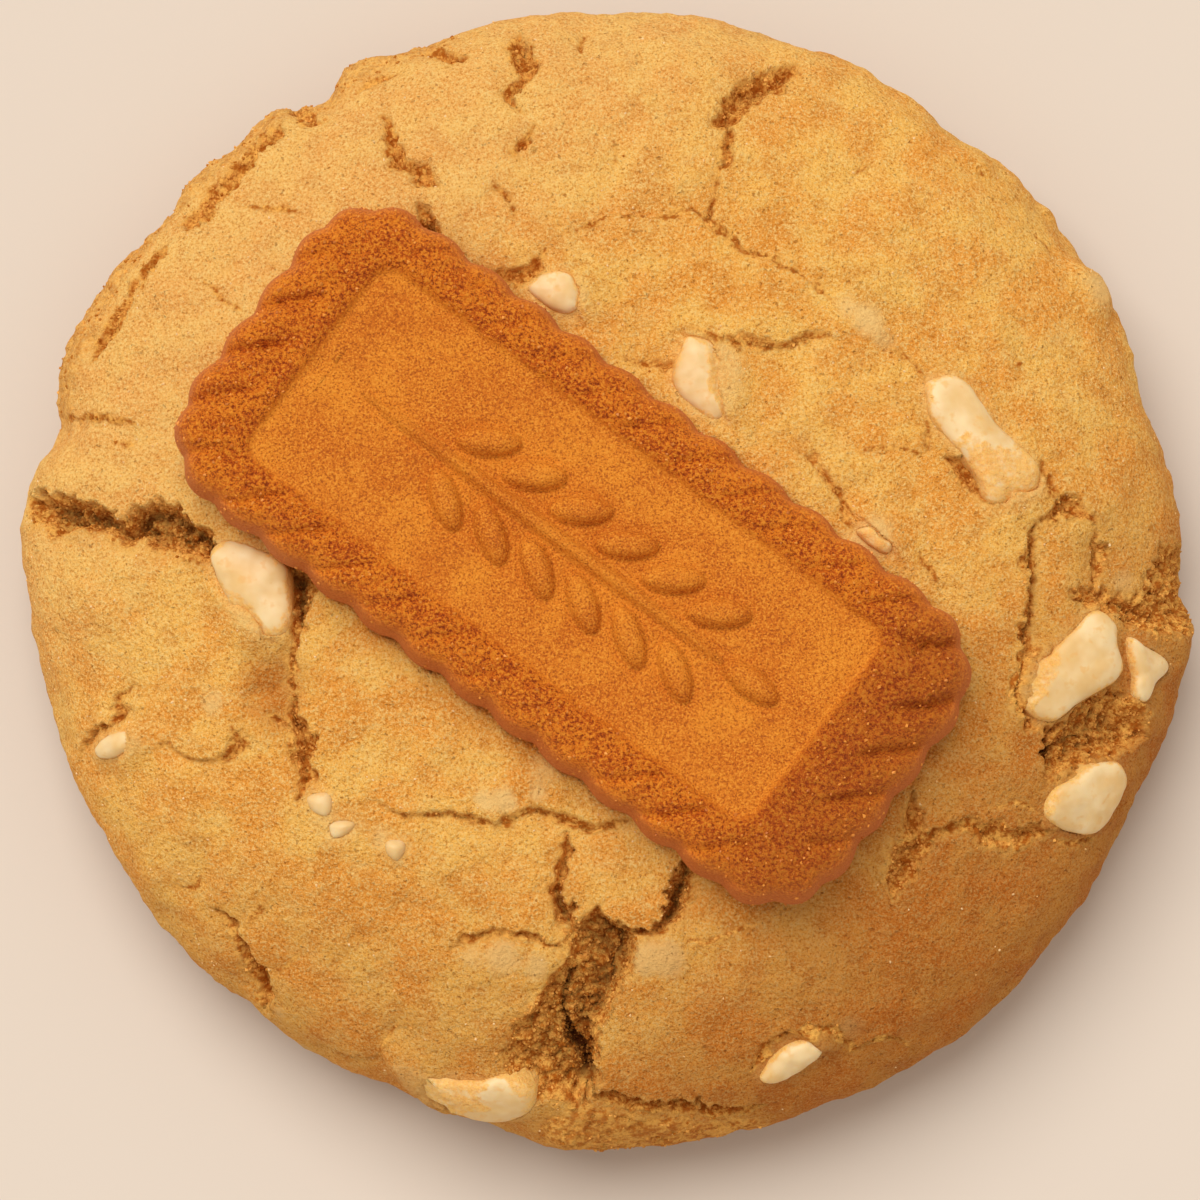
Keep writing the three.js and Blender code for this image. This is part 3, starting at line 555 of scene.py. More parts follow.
def laid_flat(plan):
    """Places seen from above, as spots of the crust laid out flat; past the edge they go down the side."""
    plan = np.asarray(plan, float)
    turn = np.arctan2(plan[:, 1], plan[:, 0])
    share = np.hypot(plan[:, 0], plan[:, 1]) / edge_radius(turn)
    on_top = np.interp(share, profile[:len(dome_turns), 0], profile_reach[:len(dome_turns)])
    reach = np.where(share < 1, on_top, waist_reach + (share - 1) * mean_radius)
    return np.stack([reach * np.cos(turn), reach * np.sin(turn)], axis=1)


def stitch(outer, inner):
    """Triangles between two rings of point numbers that both run counter-clockwise."""
    faces = []
    i = j = 0
    while i < len(outer) or j < len(inner):
        a, b = outer[i % len(outer)], inner[j % len(inner)]
        outer_first = (i + 1) * len(inner) <= (j + 1) * len(outer)
        if j >= len(inner) or (i < len(outer) and outer_first):
            i += 1
            faces.append((a, outer[i % len(outer)], b))
        else:
            j += 1
            faces.append((a, inner[j % len(inner)], b))
    return faces


def refine(spots, faces, place, wanted):
    """Halve every edge that is longer than wanted(spots), longest edges first, until none is left."""
    while True:
        solid = place(spots)
        sides = np.sort(np.stack([faces, np.roll(faces, -1, axis=1)], axis=2), axis=2)
        keys, number = np.unique(sides[:, :, 0] * len(spots) + sides[:, :, 1], return_inverse=True)
        number = number.reshape(faces.shape)
        low, high = keys // len(spots), keys % len(spots)
        length = np.linalg.norm(solid[low] - solid[high], axis=1)
        middle = (spots[low] + spots[high]) / 2
        split = length > wanted(middle)
        if not split.any():
            return spots, faces
        longest = np.argmax(length[number], axis=1)
        main_edge = number[np.arange(len(faces)), longest]
        while True:
            extra = main_edge[split[number].any(axis=1)]
            extra = extra[~split[extra]]
            if not len(extra):
                break
            split[extra] = True
        halfway = np.where(split, len(spots) + np.cumsum(split) - 1, -1)
        order = (longest[:, None] + np.arange(3)) % 3
        a, b, c = np.take_along_axis(faces, order, axis=1).T
        ab, bc, ca = halfway[np.take_along_axis(number, order, axis=1)].T
        whole, cut = ab < 0, ab >= 0
        left, right = cut & (ca < 0), cut & (bc < 0)
        left_two, right_two = cut & (ca >= 0), cut & (bc >= 0)
        faces = np.concatenate([np.stack(part, axis=1) for part in (
            (a[whole], b[whole], c[whole]),
            (a[left], ab[left], c[left]),
            (a[left_two], ab[left_two], ca[left_two]),
            (ab[left_two], c[left_two], ca[left_two]),
            (ab[right], b[right], c[right]),
            (ab[right_two], b[right_two], bc[right_two]),
            (ab[right_two], bc[right_two], c[right_two]),
        )])
        spots = np.concatenate([spots, middle[split]])


SEAL_SHRINK = 0.72
SEAL_LAST_RING = 12


def seal(corners, faces, hub):
    """Close the open rim of a skin with rings of fewer and fewer points down to the hub."""
    sides = np.concatenate([faces[:, [0, 1]], faces[:, [1, 2]], faces[:, [2, 0]]])
    ordered = np.sort(sides, axis=1)
    keys, first, times = np.unique(ordered[:, 0] * len(corners) + ordered[:, 1],
                                   return_index=True, return_counts=True)
    rim = np.unique(sides[first[times == 1]])
    around = np.arctan2(corners[rim, 1] - hub[1], corners[rim, 0] - hub[0])
    rim = rim[np.argsort(around)]
    added, extra = [], list(corners)
    while len(rim) > SEAL_LAST_RING:
        kept = rim[::2]
        ring = np.arange(len(extra), len(extra) + len(kept))
        extra += [hub + (np.asarray(extra[k]) - hub) * SEAL_SHRINK for k in kept]
        added += stitch(list(ring), list(rim))
        rim = ring
    extra.append(hub)
    added += [(rim[(k + 1) % len(rim)], rim[k], len(extra) - 1) for k in range(len(rim))]
    return np.array(extra), np.concatenate([faces, np.array(added)])


def normals_of(corners, faces):
    """Each corner's outward direction."""
    first, second, third = (corners[faces[:, k]] for k in range(3))
    across = np.cross(second - first, third - first)
    total = np.zeros_like(corners)
    for k in range(3):
        np.add.at(total, faces[:, k], across)
    return total / np.maximum(np.linalg.norm(total, axis=1, keepdims=True), 1e-12)


def smooth_run(points, step, closed=False):
    """A smooth curve through the points, in even steps (Catmull-Rom)."""
    points = np.asarray(points, float)
    ends = (points[-1:], points[:2]) if closed else (points[:1], points[-1:])
    padded = np.concatenate([ends[0], points, ends[1]])
    share = np.linspace(0, 1, 12, endpoint=False)[:, None]
    parts = []
    for p0, p1, p2, p3 in zip(padded, padded[1:], padded[2:], padded[3:]):
        parts.append(0.5 * (2 * p1 + (p2 - p0) * share + (2 * p0 - 5 * p1 + 4 * p2 - p3) * share ** 2
                            + (3 * p1 - p0 - 3 * p2 + p3) * share ** 3))
    fine = np.concatenate(parts + [points[:1] if closed else points[-1:]])
    reach = np.concatenate([[0], np.cumsum(np.linalg.norm(np.diff(fine[:, :2], axis=0), axis=1))])
    count = max(2, int(round(reach[-1] / step)) + 1)
    even = np.linspace(0, reach[-1], count)
    return np.stack([np.interp(even, reach, column) for column in fine.T], axis=1)


def distance_to(run, spots):
    """Distance of each spot to a run, the run's other columns at the nearest place, and 1 on its left."""
    near = np.full(len(spots), np.inf)
    values = np.zeros((len(spots), run.shape[1] - 2))
    side = np.ones(len(spots))
    for start, stop in zip(run[:-1], run[1:]):
        along = stop[:2] - start[:2]
        away = spots - start[:2]
        share = np.clip(away @ along / max(along @ along, 1e-9), 0, 1)
        gap = np.linalg.norm(away - share[:, None] * along, axis=1)
        closer = gap < near
        near[closer] = gap[closer]
        values[closer] = start[2:] + share[closer, None] * (stop[2:] - start[2:])
        side[closer] = np.sign(along[0] * away[closer, 1] - along[1] * away[closer, 0])
    return near, values, side


def outline_distance(outline, spots):
    """Distance to a closed outline, below zero inside it."""
    near, _, _ = distance_to(np.concatenate([outline, outline[:1]]), spots)
    inside = np.zeros(len(spots), bool)
    for start, stop in zip(outline, np.roll(outline, -1, axis=0)):
        spans = (start[1] > spots[:, 1]) != (stop[1] > spots[:, 1])
        level = (spots[:, 1] - start[1]) / (stop[1] - start[1] + 1e-12)
        inside ^= spans & (spots[:, 0] < start[0] + level * (stop[0] - start[0]))
    return np.where(inside, -near, near)


def near_to(run, spots, margin):
    """Which spots lie in the run's box, grown by the margin."""
    low, high = run[:, :2].min(axis=0) - margin, run[:, :2].max(axis=0) + margin
    return np.flatnonzero(((spots >= low) & (spots <= high)).all(axis=1))


def biscuit_place(plan):
    """Places seen from above, in the biscuit's own directions."""
    away = np.asarray(plan)[:, :2] - BISCUIT_CENTRE
    c, s = math.cos(BISCUIT_TURN), math.sin(BISCUIT_TURN)
    return np.stack([away[:, 0] * c + away[:, 1] * s, away[:, 1] * c - away[:, 0] * s], axis=1)


def box_inset(local, half, corner):
    """How far inside a rounded rectangle's outline each place is."""
    over = np.abs(local) - (np.asarray(half) - corner)
    outside = np.linalg.norm(np.maximum(over, 0), axis=1)
    return corner - outside - np.minimum(over.max(axis=1), 0)


biscuit_half = np.array([BISCUIT_LENGTH, BISCUIT_WIDTH]) / 2
core_half = biscuit_half - BISCUIT_CORNER
quarter_turns = np.linspace(0, math.pi / 2, 13)
biscuit_rim = np.array([(biscuit_half[0], 0.0)] + [
    (sx * core_half[0] + BISCUIT_CORNER * math.cos(t + k * math.pi / 2),
     sy * core_half[1] + BISCUIT_CORNER * math.sin(t + k * math.pi / 2))
    for k, (sx, sy) in enumerate([(1, 1), (-1, 1), (-1, -1), (1, -1)]) for t in quarter_turns
] + [(biscuit_half[0], 0.0)])
rim_reach = np.concatenate([[0], np.cumsum(np.linalg.norm(np.diff(biscuit_rim, axis=0), axis=1))])
perimeter = rim_reach[-1]
biscuit_rim = np.column_stack([biscuit_rim, rim_reach])


def scallop(local):
    """How far the scalloped edge lies inside the plain outline by each place, and how far along that is."""
    _, reach, _ = distance_to(biscuit_rim, local)
    wave = LOBE_COUNT * reach[:, 0] / perimeter + LOBE_STRAY * lumps(local, LOBE_STRAY_SIZE, 40)
    bulge = np.hypot(np.sin(math.pi * wave), NOTCH_ROUNDING) - NOTCH_ROUNDING
    return LOBE_DEPTH * (1 - bulge / (math.hypot(1, NOTCH_ROUNDING) - NOTCH_ROUNDING)), reach[:, 0]


def crack_run(points, widening):
    """A crack's jagged run over the crust laid out flat, with its half width and its share of the lift."""
    flat = np.column_stack([laid_flat([p[:2] for p in points]), [p[2] * widening / 2 for p in points]])
    run = smooth_run(flat, RUN_STEP)
    ends = np.minimum(np.arange(len(run)), np.arange(len(run))[::-1])
    run[:, 0] += JAG * lumps(run[:, :2], JAG_SIZE, 31)
    run[:, 1] += JAG * lumps(run[:, :2], JAG_SIZE, 32)
    run[:, 2] *= np.clip(END_WIDTH + ends / TAPER_STEPS, 0, 1)
    return np.column_stack([run, np.clip(ends / LIFT_STEPS, 0, 1)])


crack_runs = {
    name: (crack_run(points, DEEP_WIDENING if depth >= DEEP_CRACK else WIDENING), depth, lift)
    for name, (depth, lift, points) in CRACKS.items()
}
hollow_rims = {name: (smooth_run(laid_flat(rim), 0.6, closed=True)[:-1], depth)
               for name, (depth, rim) in HOLLOWS.items()}
nib_outlines = {
    name: [(x + r * k * math.cos(t), y + NIB_FLATNESS * r * k * math.sin(t))
           for t, k in zip(np.arange(len(NIB_CORNERS)) / len(NIB_CORNERS) * math.tau + x, NIB_CORNERS)]
    for name, (x, y, r) in NIBS.items()
}
chunk_rims = {name: smooth_run(laid_flat(rim), 0.5, closed=True)[:-1] for name, (*_, rim) in CHUNKS.items()}
nib_rims = {name: smooth_run(laid_flat(rim), 0.3, closed=True)[:-1] for name, rim in nib_outlines.items()}

# How close each place of the crust is to an edge of a crack or piece, kept on a fine raster
raster_line = np.arange(-RASTER_HALF, RASTER_HALF, RASTER)
raster_spots = np.stack(np.meshgrid(raster_line, raster_line, indexing="ij"), axis=-1).reshape(-1, 2)
raster_near = np.full(len(raster_spots), FAR)
for run, _, _ in crack_runs.values():
    picked = near_to(run, raster_spots, RASTER_REACH)
    gap, widths, _ = distance_to(run, raster_spots[picked])
    raster_near[picked] = np.minimum(raster_near[picked], np.maximum(gap - widths[:, 0], 0))
# A hollow is as fine inside as at its edge, and a pocket is coarse, because its piece hides it
fine_inside = [(rim, 0.0) for rim, _ in hollow_rims.values()]
coarse_inside = [(rim, -1.0) for rim in (*chunk_rims.values(), *nib_rims.values())]
for rim, inside in fine_inside + coarse_inside:
    picked = near_to(rim, raster_spots, RASTER_REACH)
    gap = outline_distance(rim, raster_spots[picked])
    raster_near[picked] = np.minimum(raster_near[picked], np.maximum(gap, inside * gap))
raster_near = raster_near.reshape(len(raster_line), -1)


def crust_step(spots):
    """How fine the crust's mesh is at each spot."""
    cell = np.clip(((spots + RASTER_HALF) / RASTER).astype(int), 0, len(raster_line) - 1)
    near = raster_near[cell[:, 0], cell[:, 1]]
    step = np.where(near < CRACK_BAND, CRACK_STEP, np.where(near < NEAR_BAND, NEAR_STEP, CRUST_STEP))
    reach = np.hypot(spots[:, 0], spots[:, 1])
    step = np.where(np.abs(reach - waist_reach) < FLANK_BAND, np.minimum(step, FLANK_STEP), step)
    step = np.where((reach > waist_reach + FOOT_BELOW_WAIST) & (near > FOOT_CLEAR), FOOT_STEP, step)
    under = box_inset(biscuit_place(on_cookie(spots)), biscuit_half, BISCUIT_CORNER) > HIDDEN_INSET
    return np.where(under, HIDDEN_STEP, step)


ring_reaches = np.linspace(profile_reach[-1], 0, int(profile_reach[-1] / FIRST_STEP) + 1)
crust_spots, crust_faces, last_ring = [], [], None
for reach in ring_reaches:
    around = max(6, int(math.tau * reach / FIRST_STEP)) if reach > 0 else 1
    turns = np.arange(around) / around * math.tau
    ring = list(range(len(crust_spots), len(crust_spots) + around))
    crust_spots += [(reach * math.cos(t), reach * math.sin(t)) for t in turns]
    if last_ring and around > 1:
        crust_faces += stitch(last_ring, ring)
    if around == 1:
        crust_faces += [(last_ring[k], last_ring[(k + 1) % len(last_ring)], ring[0])
                        for k in range(len(last_ring))]
    last_ring = ring
crust_spots, crust_faces = refine(np.array(crust_spots), np.array(crust_faces), on_cookie, crust_step)

crust = on_cookie(crust_spots)
crust_out = normals_of(crust, crust_faces)
skin = ramp(crust[:, 2], 0.8, 5.0)
rise = skin * uneven(crust, SKIN_LAYERS)
reach = np.hypot(crust_spots[:, 0], crust_spots[:, 1])
compass = np.degrees(np.arctan2(crust[:, 1], crust[:, 0]))
flank = skin * ramp(reach, waist_reach - 9, waist_reach - 1)
rise += flank * uneven(crust, FLANK_LAYERS)
# The side outside the north-west cracks is torn crumb
from_start, to_start, from_end, to_end = BROKEN_SIDE
broken_side = ramp(reach, waist_reach - 5.4, waist_reach - 4.0) * ramp(crust[:, 2], 2.0, 5.0)
broken_side *= ramp(compass, from_start, to_start) * ramp(compass, to_end, from_end)
rise += broken_side * (uneven(crust, BROKEN_LAYERS, ridged=True) - 0.15)
for angle, width, amount in EDGE_BUMPS:
    away = (compass - angle + 180) % 360 - 180
    rise += amount * flank * np.exp(-(away / width) ** 2)


def away_from(x, y):
    """How far each place of the crust is from one that is given as seen from above."""
    return np.linalg.norm(crust_spots - laid_flat([(x, y)])[0], axis=1)


for x, y, radius, height in LUMPS:
    gap = away_from(x, y) + LUMP_STRAY * lumps(crust, 1.5, 5)
    rise += height * (1 - ramp(gap, radius * 0.3, radius * 1.25))


def raise_to(layer, picked, values):
    """Lift the picked places of a layer to the values where they are higher."""
    layer[picked] = np.maximum(layer[picked], values)


# How deep each place sinks, and what the material needs to know of it: whether it is torn, the lit
# ragged edge beside that, and how thick loose crumb lies
sink, torn, rough_edge, crumbly = np.zeros((4, len(crust)))
wander = uneven(crust, EDGE_LAYERS)
crumb_lumps = uneven(crust, CRUMB_LAYERS, ridged=True)
for number, (run, depth, lift) in enumerate(crack_runs.values()):
    picked = near_to(run, crust_spots, CRACK_REACH)
    gap, values, side = distance_to(run, crust_spots[picked])
    # A narrow crack opens and closes more along its run than a wide one
    variation = np.interp(values[:, 0], *VARIATION) * lumps(crust[picked], VARIATION_SIZE, 30 + number)
    half = values[:, 0] * np.clip(1.1 + variation, 0.35, 1.7)
    edge = gap - half + wander[picked] * np.clip(half * 2.0, 0.40, 1.1)
    # The lower side slopes down into the crack and the higher one is steep
    slope = 0.75 * np.clip(-side * np.sign(lift), 0, 1) * np.minimum(half, 1.6)
    opened = 1 - ramp(edge, EDGE_IN - slope, EDGE_OUT)
    over = side * np.sign(lift) * np.clip(gap / np.maximum(half, 0.05), 0, 1)
    floor = depth * (0.45 + 0.55 * ramp(half - gap, -0.1, 0.45 + depth * 0.2)) * (0.82 + 0.3 * over)
    crumb = crumb_lumps[picked] * min(depth * 0.5, CRUMB_RELIEF)
    raise_to(sink, picked, opened * np.maximum(floor - crumb, LEAST_SINK))
    opened = 1 - ramp(edge, EDGE_IN - 0.4 * slope, EDGE_OUT)
    raise_to(torn, picked, opened)
    raise_to(crumbly, picked, opened * np.clip(half / 1.3 - 0.15, 0.05, 1))
    # Beside the crack the skin curls over a little, most on the lower side
    high = np.clip(side * np.sign(lift), 0, 1)
    shoulder_width = DEEP_SHOULDER if depth > 1 else SHALLOW_SHOULDER
    shoulder = np.exp(-np.maximum(edge, 0) / shoulder_width) * (1 - opened)
    rise[picked] += 0.5 * lift * values[:, 1] * side * np.exp(-gap / LIFT_FADE)
    rise[picked] -= shoulder * SHOULDER_DROP * (1 - 0.75 * high)
    raise_to(rough_edge, picked, np.exp(-np.abs(edge) / 0.4) * min(1.0, 0.3 + depth / 2.5))

for rim, depth in hollow_rims.values():
    picked = near_to(rim, crust_spots, RIM_REACH)
    edge = outline_distance(rim, crust_spots[picked]) + wander[picked] * 1.5
    opened = 1 - ramp(edge, -0.5, 0.3)
    floor = depth * (0.6 + 0.4 * ramp(-edge, 0, 1.6))
    raise_to(sink, picked, opened * (floor - crumb_lumps[picked] * CRUMB_RELIEF))
    raise_to(torn, picked, opened * min(1.0, 0.5 + depth / 2))
    raise_to(rough_edge, picked, np.exp(-np.abs(edge) / 0.5))
    raise_to(crumbly, picked, opened * min(1.0, depth / 2))
crumbly = np.clip(crumbly + 0.03 * rough_edge * (1 - torn) + 0.15 * broken_side, 0, 1)
torn = np.maximum(torn, 0.4 * broken_side)


def dough_cover(spots, rim, covered_from, reach):
    """How far the dough reaches over a piece from one side, as a share."""
    if not reach:
        return np.zeros(len(spots))
    towards_it = heading(covered_from)
    middle = rim.mean(axis=0)
    away = (spots - middle) @ towards_it / np.abs((rim - middle) @ towards_it).max()
    return ramp(away + uneven(spots, LIP_LAYERS), 0.85 - 2 * reach, 1.15 - 2 * reach)


# Pockets for the chocolate: the skin swells round each, dough reaches over some, and the skin
# is paler close by, where the melted edge soaked in
halo = np.zeros(len(crust))
for name, rim in {**chunk_rims, **nib_rims}.items():
    large = name in chunk_rims
    depth, swell, opening, tear, stray = (
        (CHUNK_DEPTH, 0.30, 0.5, 0.6, 0.2) if large else (NIB_DEPTH, 0.15, 0.2, 0.0, 0.0)
    )
    picked = near_to(rim, crust_spots, POCKET_REACH)
    edge = outline_distance(rim, crust_spots[picked]) + 0.18 + wander[picked] * stray
    cover = dough_cover(crust_spots[picked], rim, *CHUNKS[name][:2]) if large else np.zeros(len(picked))
    opened = (1 - ramp(edge, -opening, 0.0)) * (1 - ramp(cover, 0.2, 0.6))
    raise_to(sink, picked, opened * (depth + CLEARANCE))
    raise_to(torn, picked, tear * opened)
    rise[picked] += swell * np.exp(-np.maximum(edge, 0) / 0.9) * (1 - opened)
    cover *= 1 - ramp(edge, -0.4, 2.8)
    rise[picked] += cover * (COVER_HEIGHT - 0.6 * rise[picked])
    sink[picked] *= 1 - cover
    raise_to(halo, picked, 0.5 * np.exp(-np.maximum(edge, 0) / 1.3))
    crumbly[picked] *= 1 - ramp(edge, 0.5, 0.1)


def patches(places):
    """The strongest of soft uneven spots at each place of the crust."""
    stray = PATCH_STRAY * lumps(crust, 1.7, 12)
    shares = [strength * (1 - ramp(away_from(x, y) + stray, 0, radius * PATCH_SPREAD))
              for x, y, radius, strength in places]
    return np.max(shares, axis=0)


pale = np.maximum(halo, patches(PALE_PATCHES))
# Painted shade: the deeper a place sinks, the darker its crumb is painted
depth_shade_share = np.clip(sink / FULL_SHADE_DEPTH, 0, 1)
crust += crust_out * (rise - sink)[:, None]

# The dent in which the biscuit lies
flat_place = biscuit_place(crust)
inset = box_inset(flat_place, biscuit_half, BISCUIT_CORNER)
edge_zone = np.flatnonzero(np.abs(inset) < 3)
inset[edge_zone] -= scallop(flat_place[edge_zone])[0]
dent = BISCUIT_UNDERSIDE - CLEARANCE + np.clip(0.7 - inset, 0, None) * 4.0 + 0.10 * lumps(crust, 0.9, 13)
crust[:, 2] = np.where(inset > -3, np.minimum(crust[:, 2], dent), crust[:, 2])
browned = ramp(crust[:, 2], 9.0, 1.5)


def towards(angle, low, high):
    """A share that grows towards one side of the cookie, in degrees counter-clockwise from +X."""
    return ramp(crust[:, :2] @ heading(angle), low, high)


# Painted shade makes the south-east side, which faces away from the light, darker and browner, along
# with browner baking there; painted light makes the north-west side, which faces the light, paler
toasted = np.maximum(towards(-48, 16, 42), 0.5 * towards(-98, 20, 44))
toasted = np.maximum(toasted, patches(BROWN_PATCHES))
toasted *= 1 - 0.7 * browned
blond = towards(130, 8, 40)
open_skin = (1 - torn) * (inset < 0) * ramp(crust[:, 2], 6.0, 12.0) * (1 - 0.8 * toasted)
crust, crust_faces = seal(crust, crust_faces, np.zeros(3))
crust_values = {"torn": torn, "rough_edge": rough_edge, "pale": pale, "deep": depth_shade_share, "crumbly": crumbly,
                "browned": browned, "toasted": toasted, "blond": blond, "open_skin": open_skin}


def patterns(tree, *grains):
    """Noise on the piece's own coordinates, by the size of its lumps in millimetres; a fine one also gives
    its detail and crispness."""
    place = add_node(tree, "ShaderNodeTexCoord").outputs["Object"]
    place = add_node(tree, "ShaderNodeMapping", {"Vector": place, "Scale": (1000, 1000, 1000)})
    made = []
    for grain in grains:
        size, detail, crispness = grain if isinstance(grain, tuple) else (grain, 2, 0.55)
        made.append(add_node(tree, "ShaderNodeTexNoise", {
            "Vector": place.outputs["Vector"], "Scale": 1 / size, "Detail": detail, "Roughness": crispness,
        }).outputs["Fac"])
    return made


def kept_values(tree, *names):
    """Values that are stored on the piece's corners."""
    return [add_node(tree, "ShaderNodeAttribute", attribute_name=name).outputs["Fac"] for name in names]


def eased(tree, pattern, start, full, most=1.0, least=0.0):
    """A share that grows from the least to the most while a pattern runs from start to full."""
    return add_node(tree, "ShaderNodeMapRange", {
        "Value": pattern, "From Min": start, "From Max": full, "To Min": least, "To Max": most,
    }, interpolation_type="SMOOTHSTEP").outputs["Result"]


def coats(tree, colour, *layers):
    """A colour under further ones: each layer is a share, its colour, and where given the values of the
    share at which the layer starts and is full, and the most that shows of it."""
    for share, over, *span in layers:
        colour = add_node(tree, "ShaderNodeMix", {
            "Factor": eased(tree, share, *span) if span else share,
            6: linear(colour) if isinstance(colour, str) else colour,
            7: linear(over) if isinstance(over, str) else over,
        }, data_type="RGBA").outputs[2]
    return colour


def store(piece, name, values, beyond=0.0):
    """Keep a value on each corner of the piece; corners past the last one given get the one beyond."""
    layer = piece.data.attributes.new(name, "FLOAT", "POINT")
    padded = np.full(len(layer.data), beyond, np.float32)
    padded[:len(values)] = values
    layer.data.foreach_set("value", padded)


def sum_of(tree, *shares):
    """The sum of values, each times its share."""
    total = 0.0
    for value, share in shares:
        total = add_node(tree, "ShaderNodeMath", {0: value, 1: share, 2: total}, operation="MULTIPLY_ADD")
        total = total.outputs["Value"]
    return total


def baked_skin(tree, pale=0.0, blond=0.0):
    """The cookie's skin, paler where the first value says, with painted light where the second does: its
    colour, and its relief.
    """
    broad, light_spots, brown_spots, grit, fine, pores, lumpy, coarse = patterns(
        tree, 5.0, 1.5, 2.6, (0.24, 4, 0.74), 0.14, (0.42, 1, 0.55), 0.6, 1.3)
    pits = eased(tree, pores, 0.31, 0.24)
    skin_colour = coats(
        tree, "#F7A642",
        (broad, "#FFC35D", 0.36, 0.64),
        (light_spots, "#FFCA6E", 0.48, 0.72, 0.5),
        (brown_spots, "#DC8C30", 0.52, 0.30, 0.5),
        # painted light: paler on the side that faces the light
        (blond, "#F6C478", 0, 1, 0.4),
        # the grain lighter where it stands up and darker where it sinks, partly its own tones and partly
        # painted highlight and shade
        (grit, "#FFD786", 0.515, 0.60, 0.8),
        (grit, "#C8701A", 0.465, 0.37, 0.65),
        (fine, "#FFDA90", 0.55, 0.66, 0.4),
        (fine, "#BC6A1A", 0.42, 0.34, 0.4),
        (pale, "#FCD084", 0.36, 0.98, 0.8),
        # painted shade in the pores
        (pits, "#A05C1C", 0, 1, 0.4),
    )
    return skin_colour, sum_of(tree, (grit, 1.4), (fine, 0.5), (pits, -0.6), (lumpy, 1.9), (coarse, 2.6))


# Baked cookie crust: matt golden skin, sandy with sugar and finely pitted, paler over chocolate,
# browner down at the base, and moist brown crumb where it tore. The crumb's strong orange is partly
# painted glow of light bounced inside the cracks, and painted shade darkens it the deeper it lies
crust_material = new_material("baked cookie crust")
tree = crust_material.node_tree
pale_blotches, crumb_blotches, crumb_grit = patterns(tree, 0.7, 0.9, 0.3)
pale, blond, toasted, rough_edge, browned, deep, torn = kept_values(
    tree, "pale", "blond", "toasted", "rough_edge", "browned", "deep", "torn")
colour, relief = baked_skin(tree, sum_of(tree, (pale, 1.0), (pale_blotches, 0.4)), blond)
# Painted shade: darker and browner on the south-east side, away from the light, and in the browner places
colour = add_node(tree, "ShaderNodeMix", {"Factor": toasted, 6: colour, 7: linear("#CEB4A2")},
                  data_type="RGBA", blend_type="MULTIPLY").outputs[2]
crumb = coats(
    tree, "#BE6A1C",
    (sum_of(tree, (crumb_blotches, 0.6), (crumb_grit, 0.4)), "#FFBE5C", 0.40, 0.60),
    # painted shade: darker the deeper the crumb lies
    (deep, "#5A2803", 0.28, 0.92),
)
colour = coats(
    tree, colour,
    (rough_edge, "#F2BA60", 0.3, 1.0, 0.5),
    (browned, "#B0713A", 0, 1, 0.75),
    (torn, crumb),
)
bump = add_node(tree, "ShaderNodeBump", {"Height": relief, "Strength": 1.0, "Distance": 0.17 * MM})
finish_material(crust_material, {
    "Base Color": colour,
    "Roughness": 0.85,
    "IOR": 1.45,
    "Specular IOR Level": 0.15,
    "Normal": bump.outputs["Normal"],
})

cookie = new_piece("cookie_crust", crust * MM, crust_faces, crust_material)
for name, values in crust_values.items():
    store(cookie, name, values)
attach(cookie, "root")
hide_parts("cookie")


# ---------------------------------------------------------------- white chocolate pieces
# Broken pieces of white chocolate, stirred into the dough and half sunk in it. Their corners
# softened in the oven, so they are smooth and rounded with a faint gloss.
# Rings of a piece from its hidden foot up: share of the outline, and height over the crust
CHUNK_RINGS = [(0.62, -CHUNK_DEPTH), (0.92, -CHUNK_DEPTH * 0.62), (1.0, -0.5), (0.985, 0.2), (0.93, 0.56),
               (0.79, 0.86), (0.48, 1.06)]
NIB_RINGS = [(0.62, -NIB_DEPTH), (0.92, -NIB_DEPTH * 0.62), (1.0, -0.4), (0.94, 0.1), (0.78, 0.38),
             (0.5, 0.58)]
# The rounded top inside the last ring: shares of that ring, and how much higher its middle is
TOP_RINGS = (0.8, 0.6, 0.4, 0.2, 0.06)
TOP_RISE = 0.1
FILM_STRENGTH = 0.62


def seat_of(rim):
    """The middle of an outline on the crust and the crust's outward direction there."""
    middle = rim.mean(axis=0)
    probes = middle + 0.8 * np.array([(0, 0), (1, 0), (-1, 0), (0, 1), (0, -1)])
    spot, east, west, north, south = on_cookie(probes)
    normal = np.cross(east - west, north - south)
    return spot, normal / np.linalg.norm(normal)


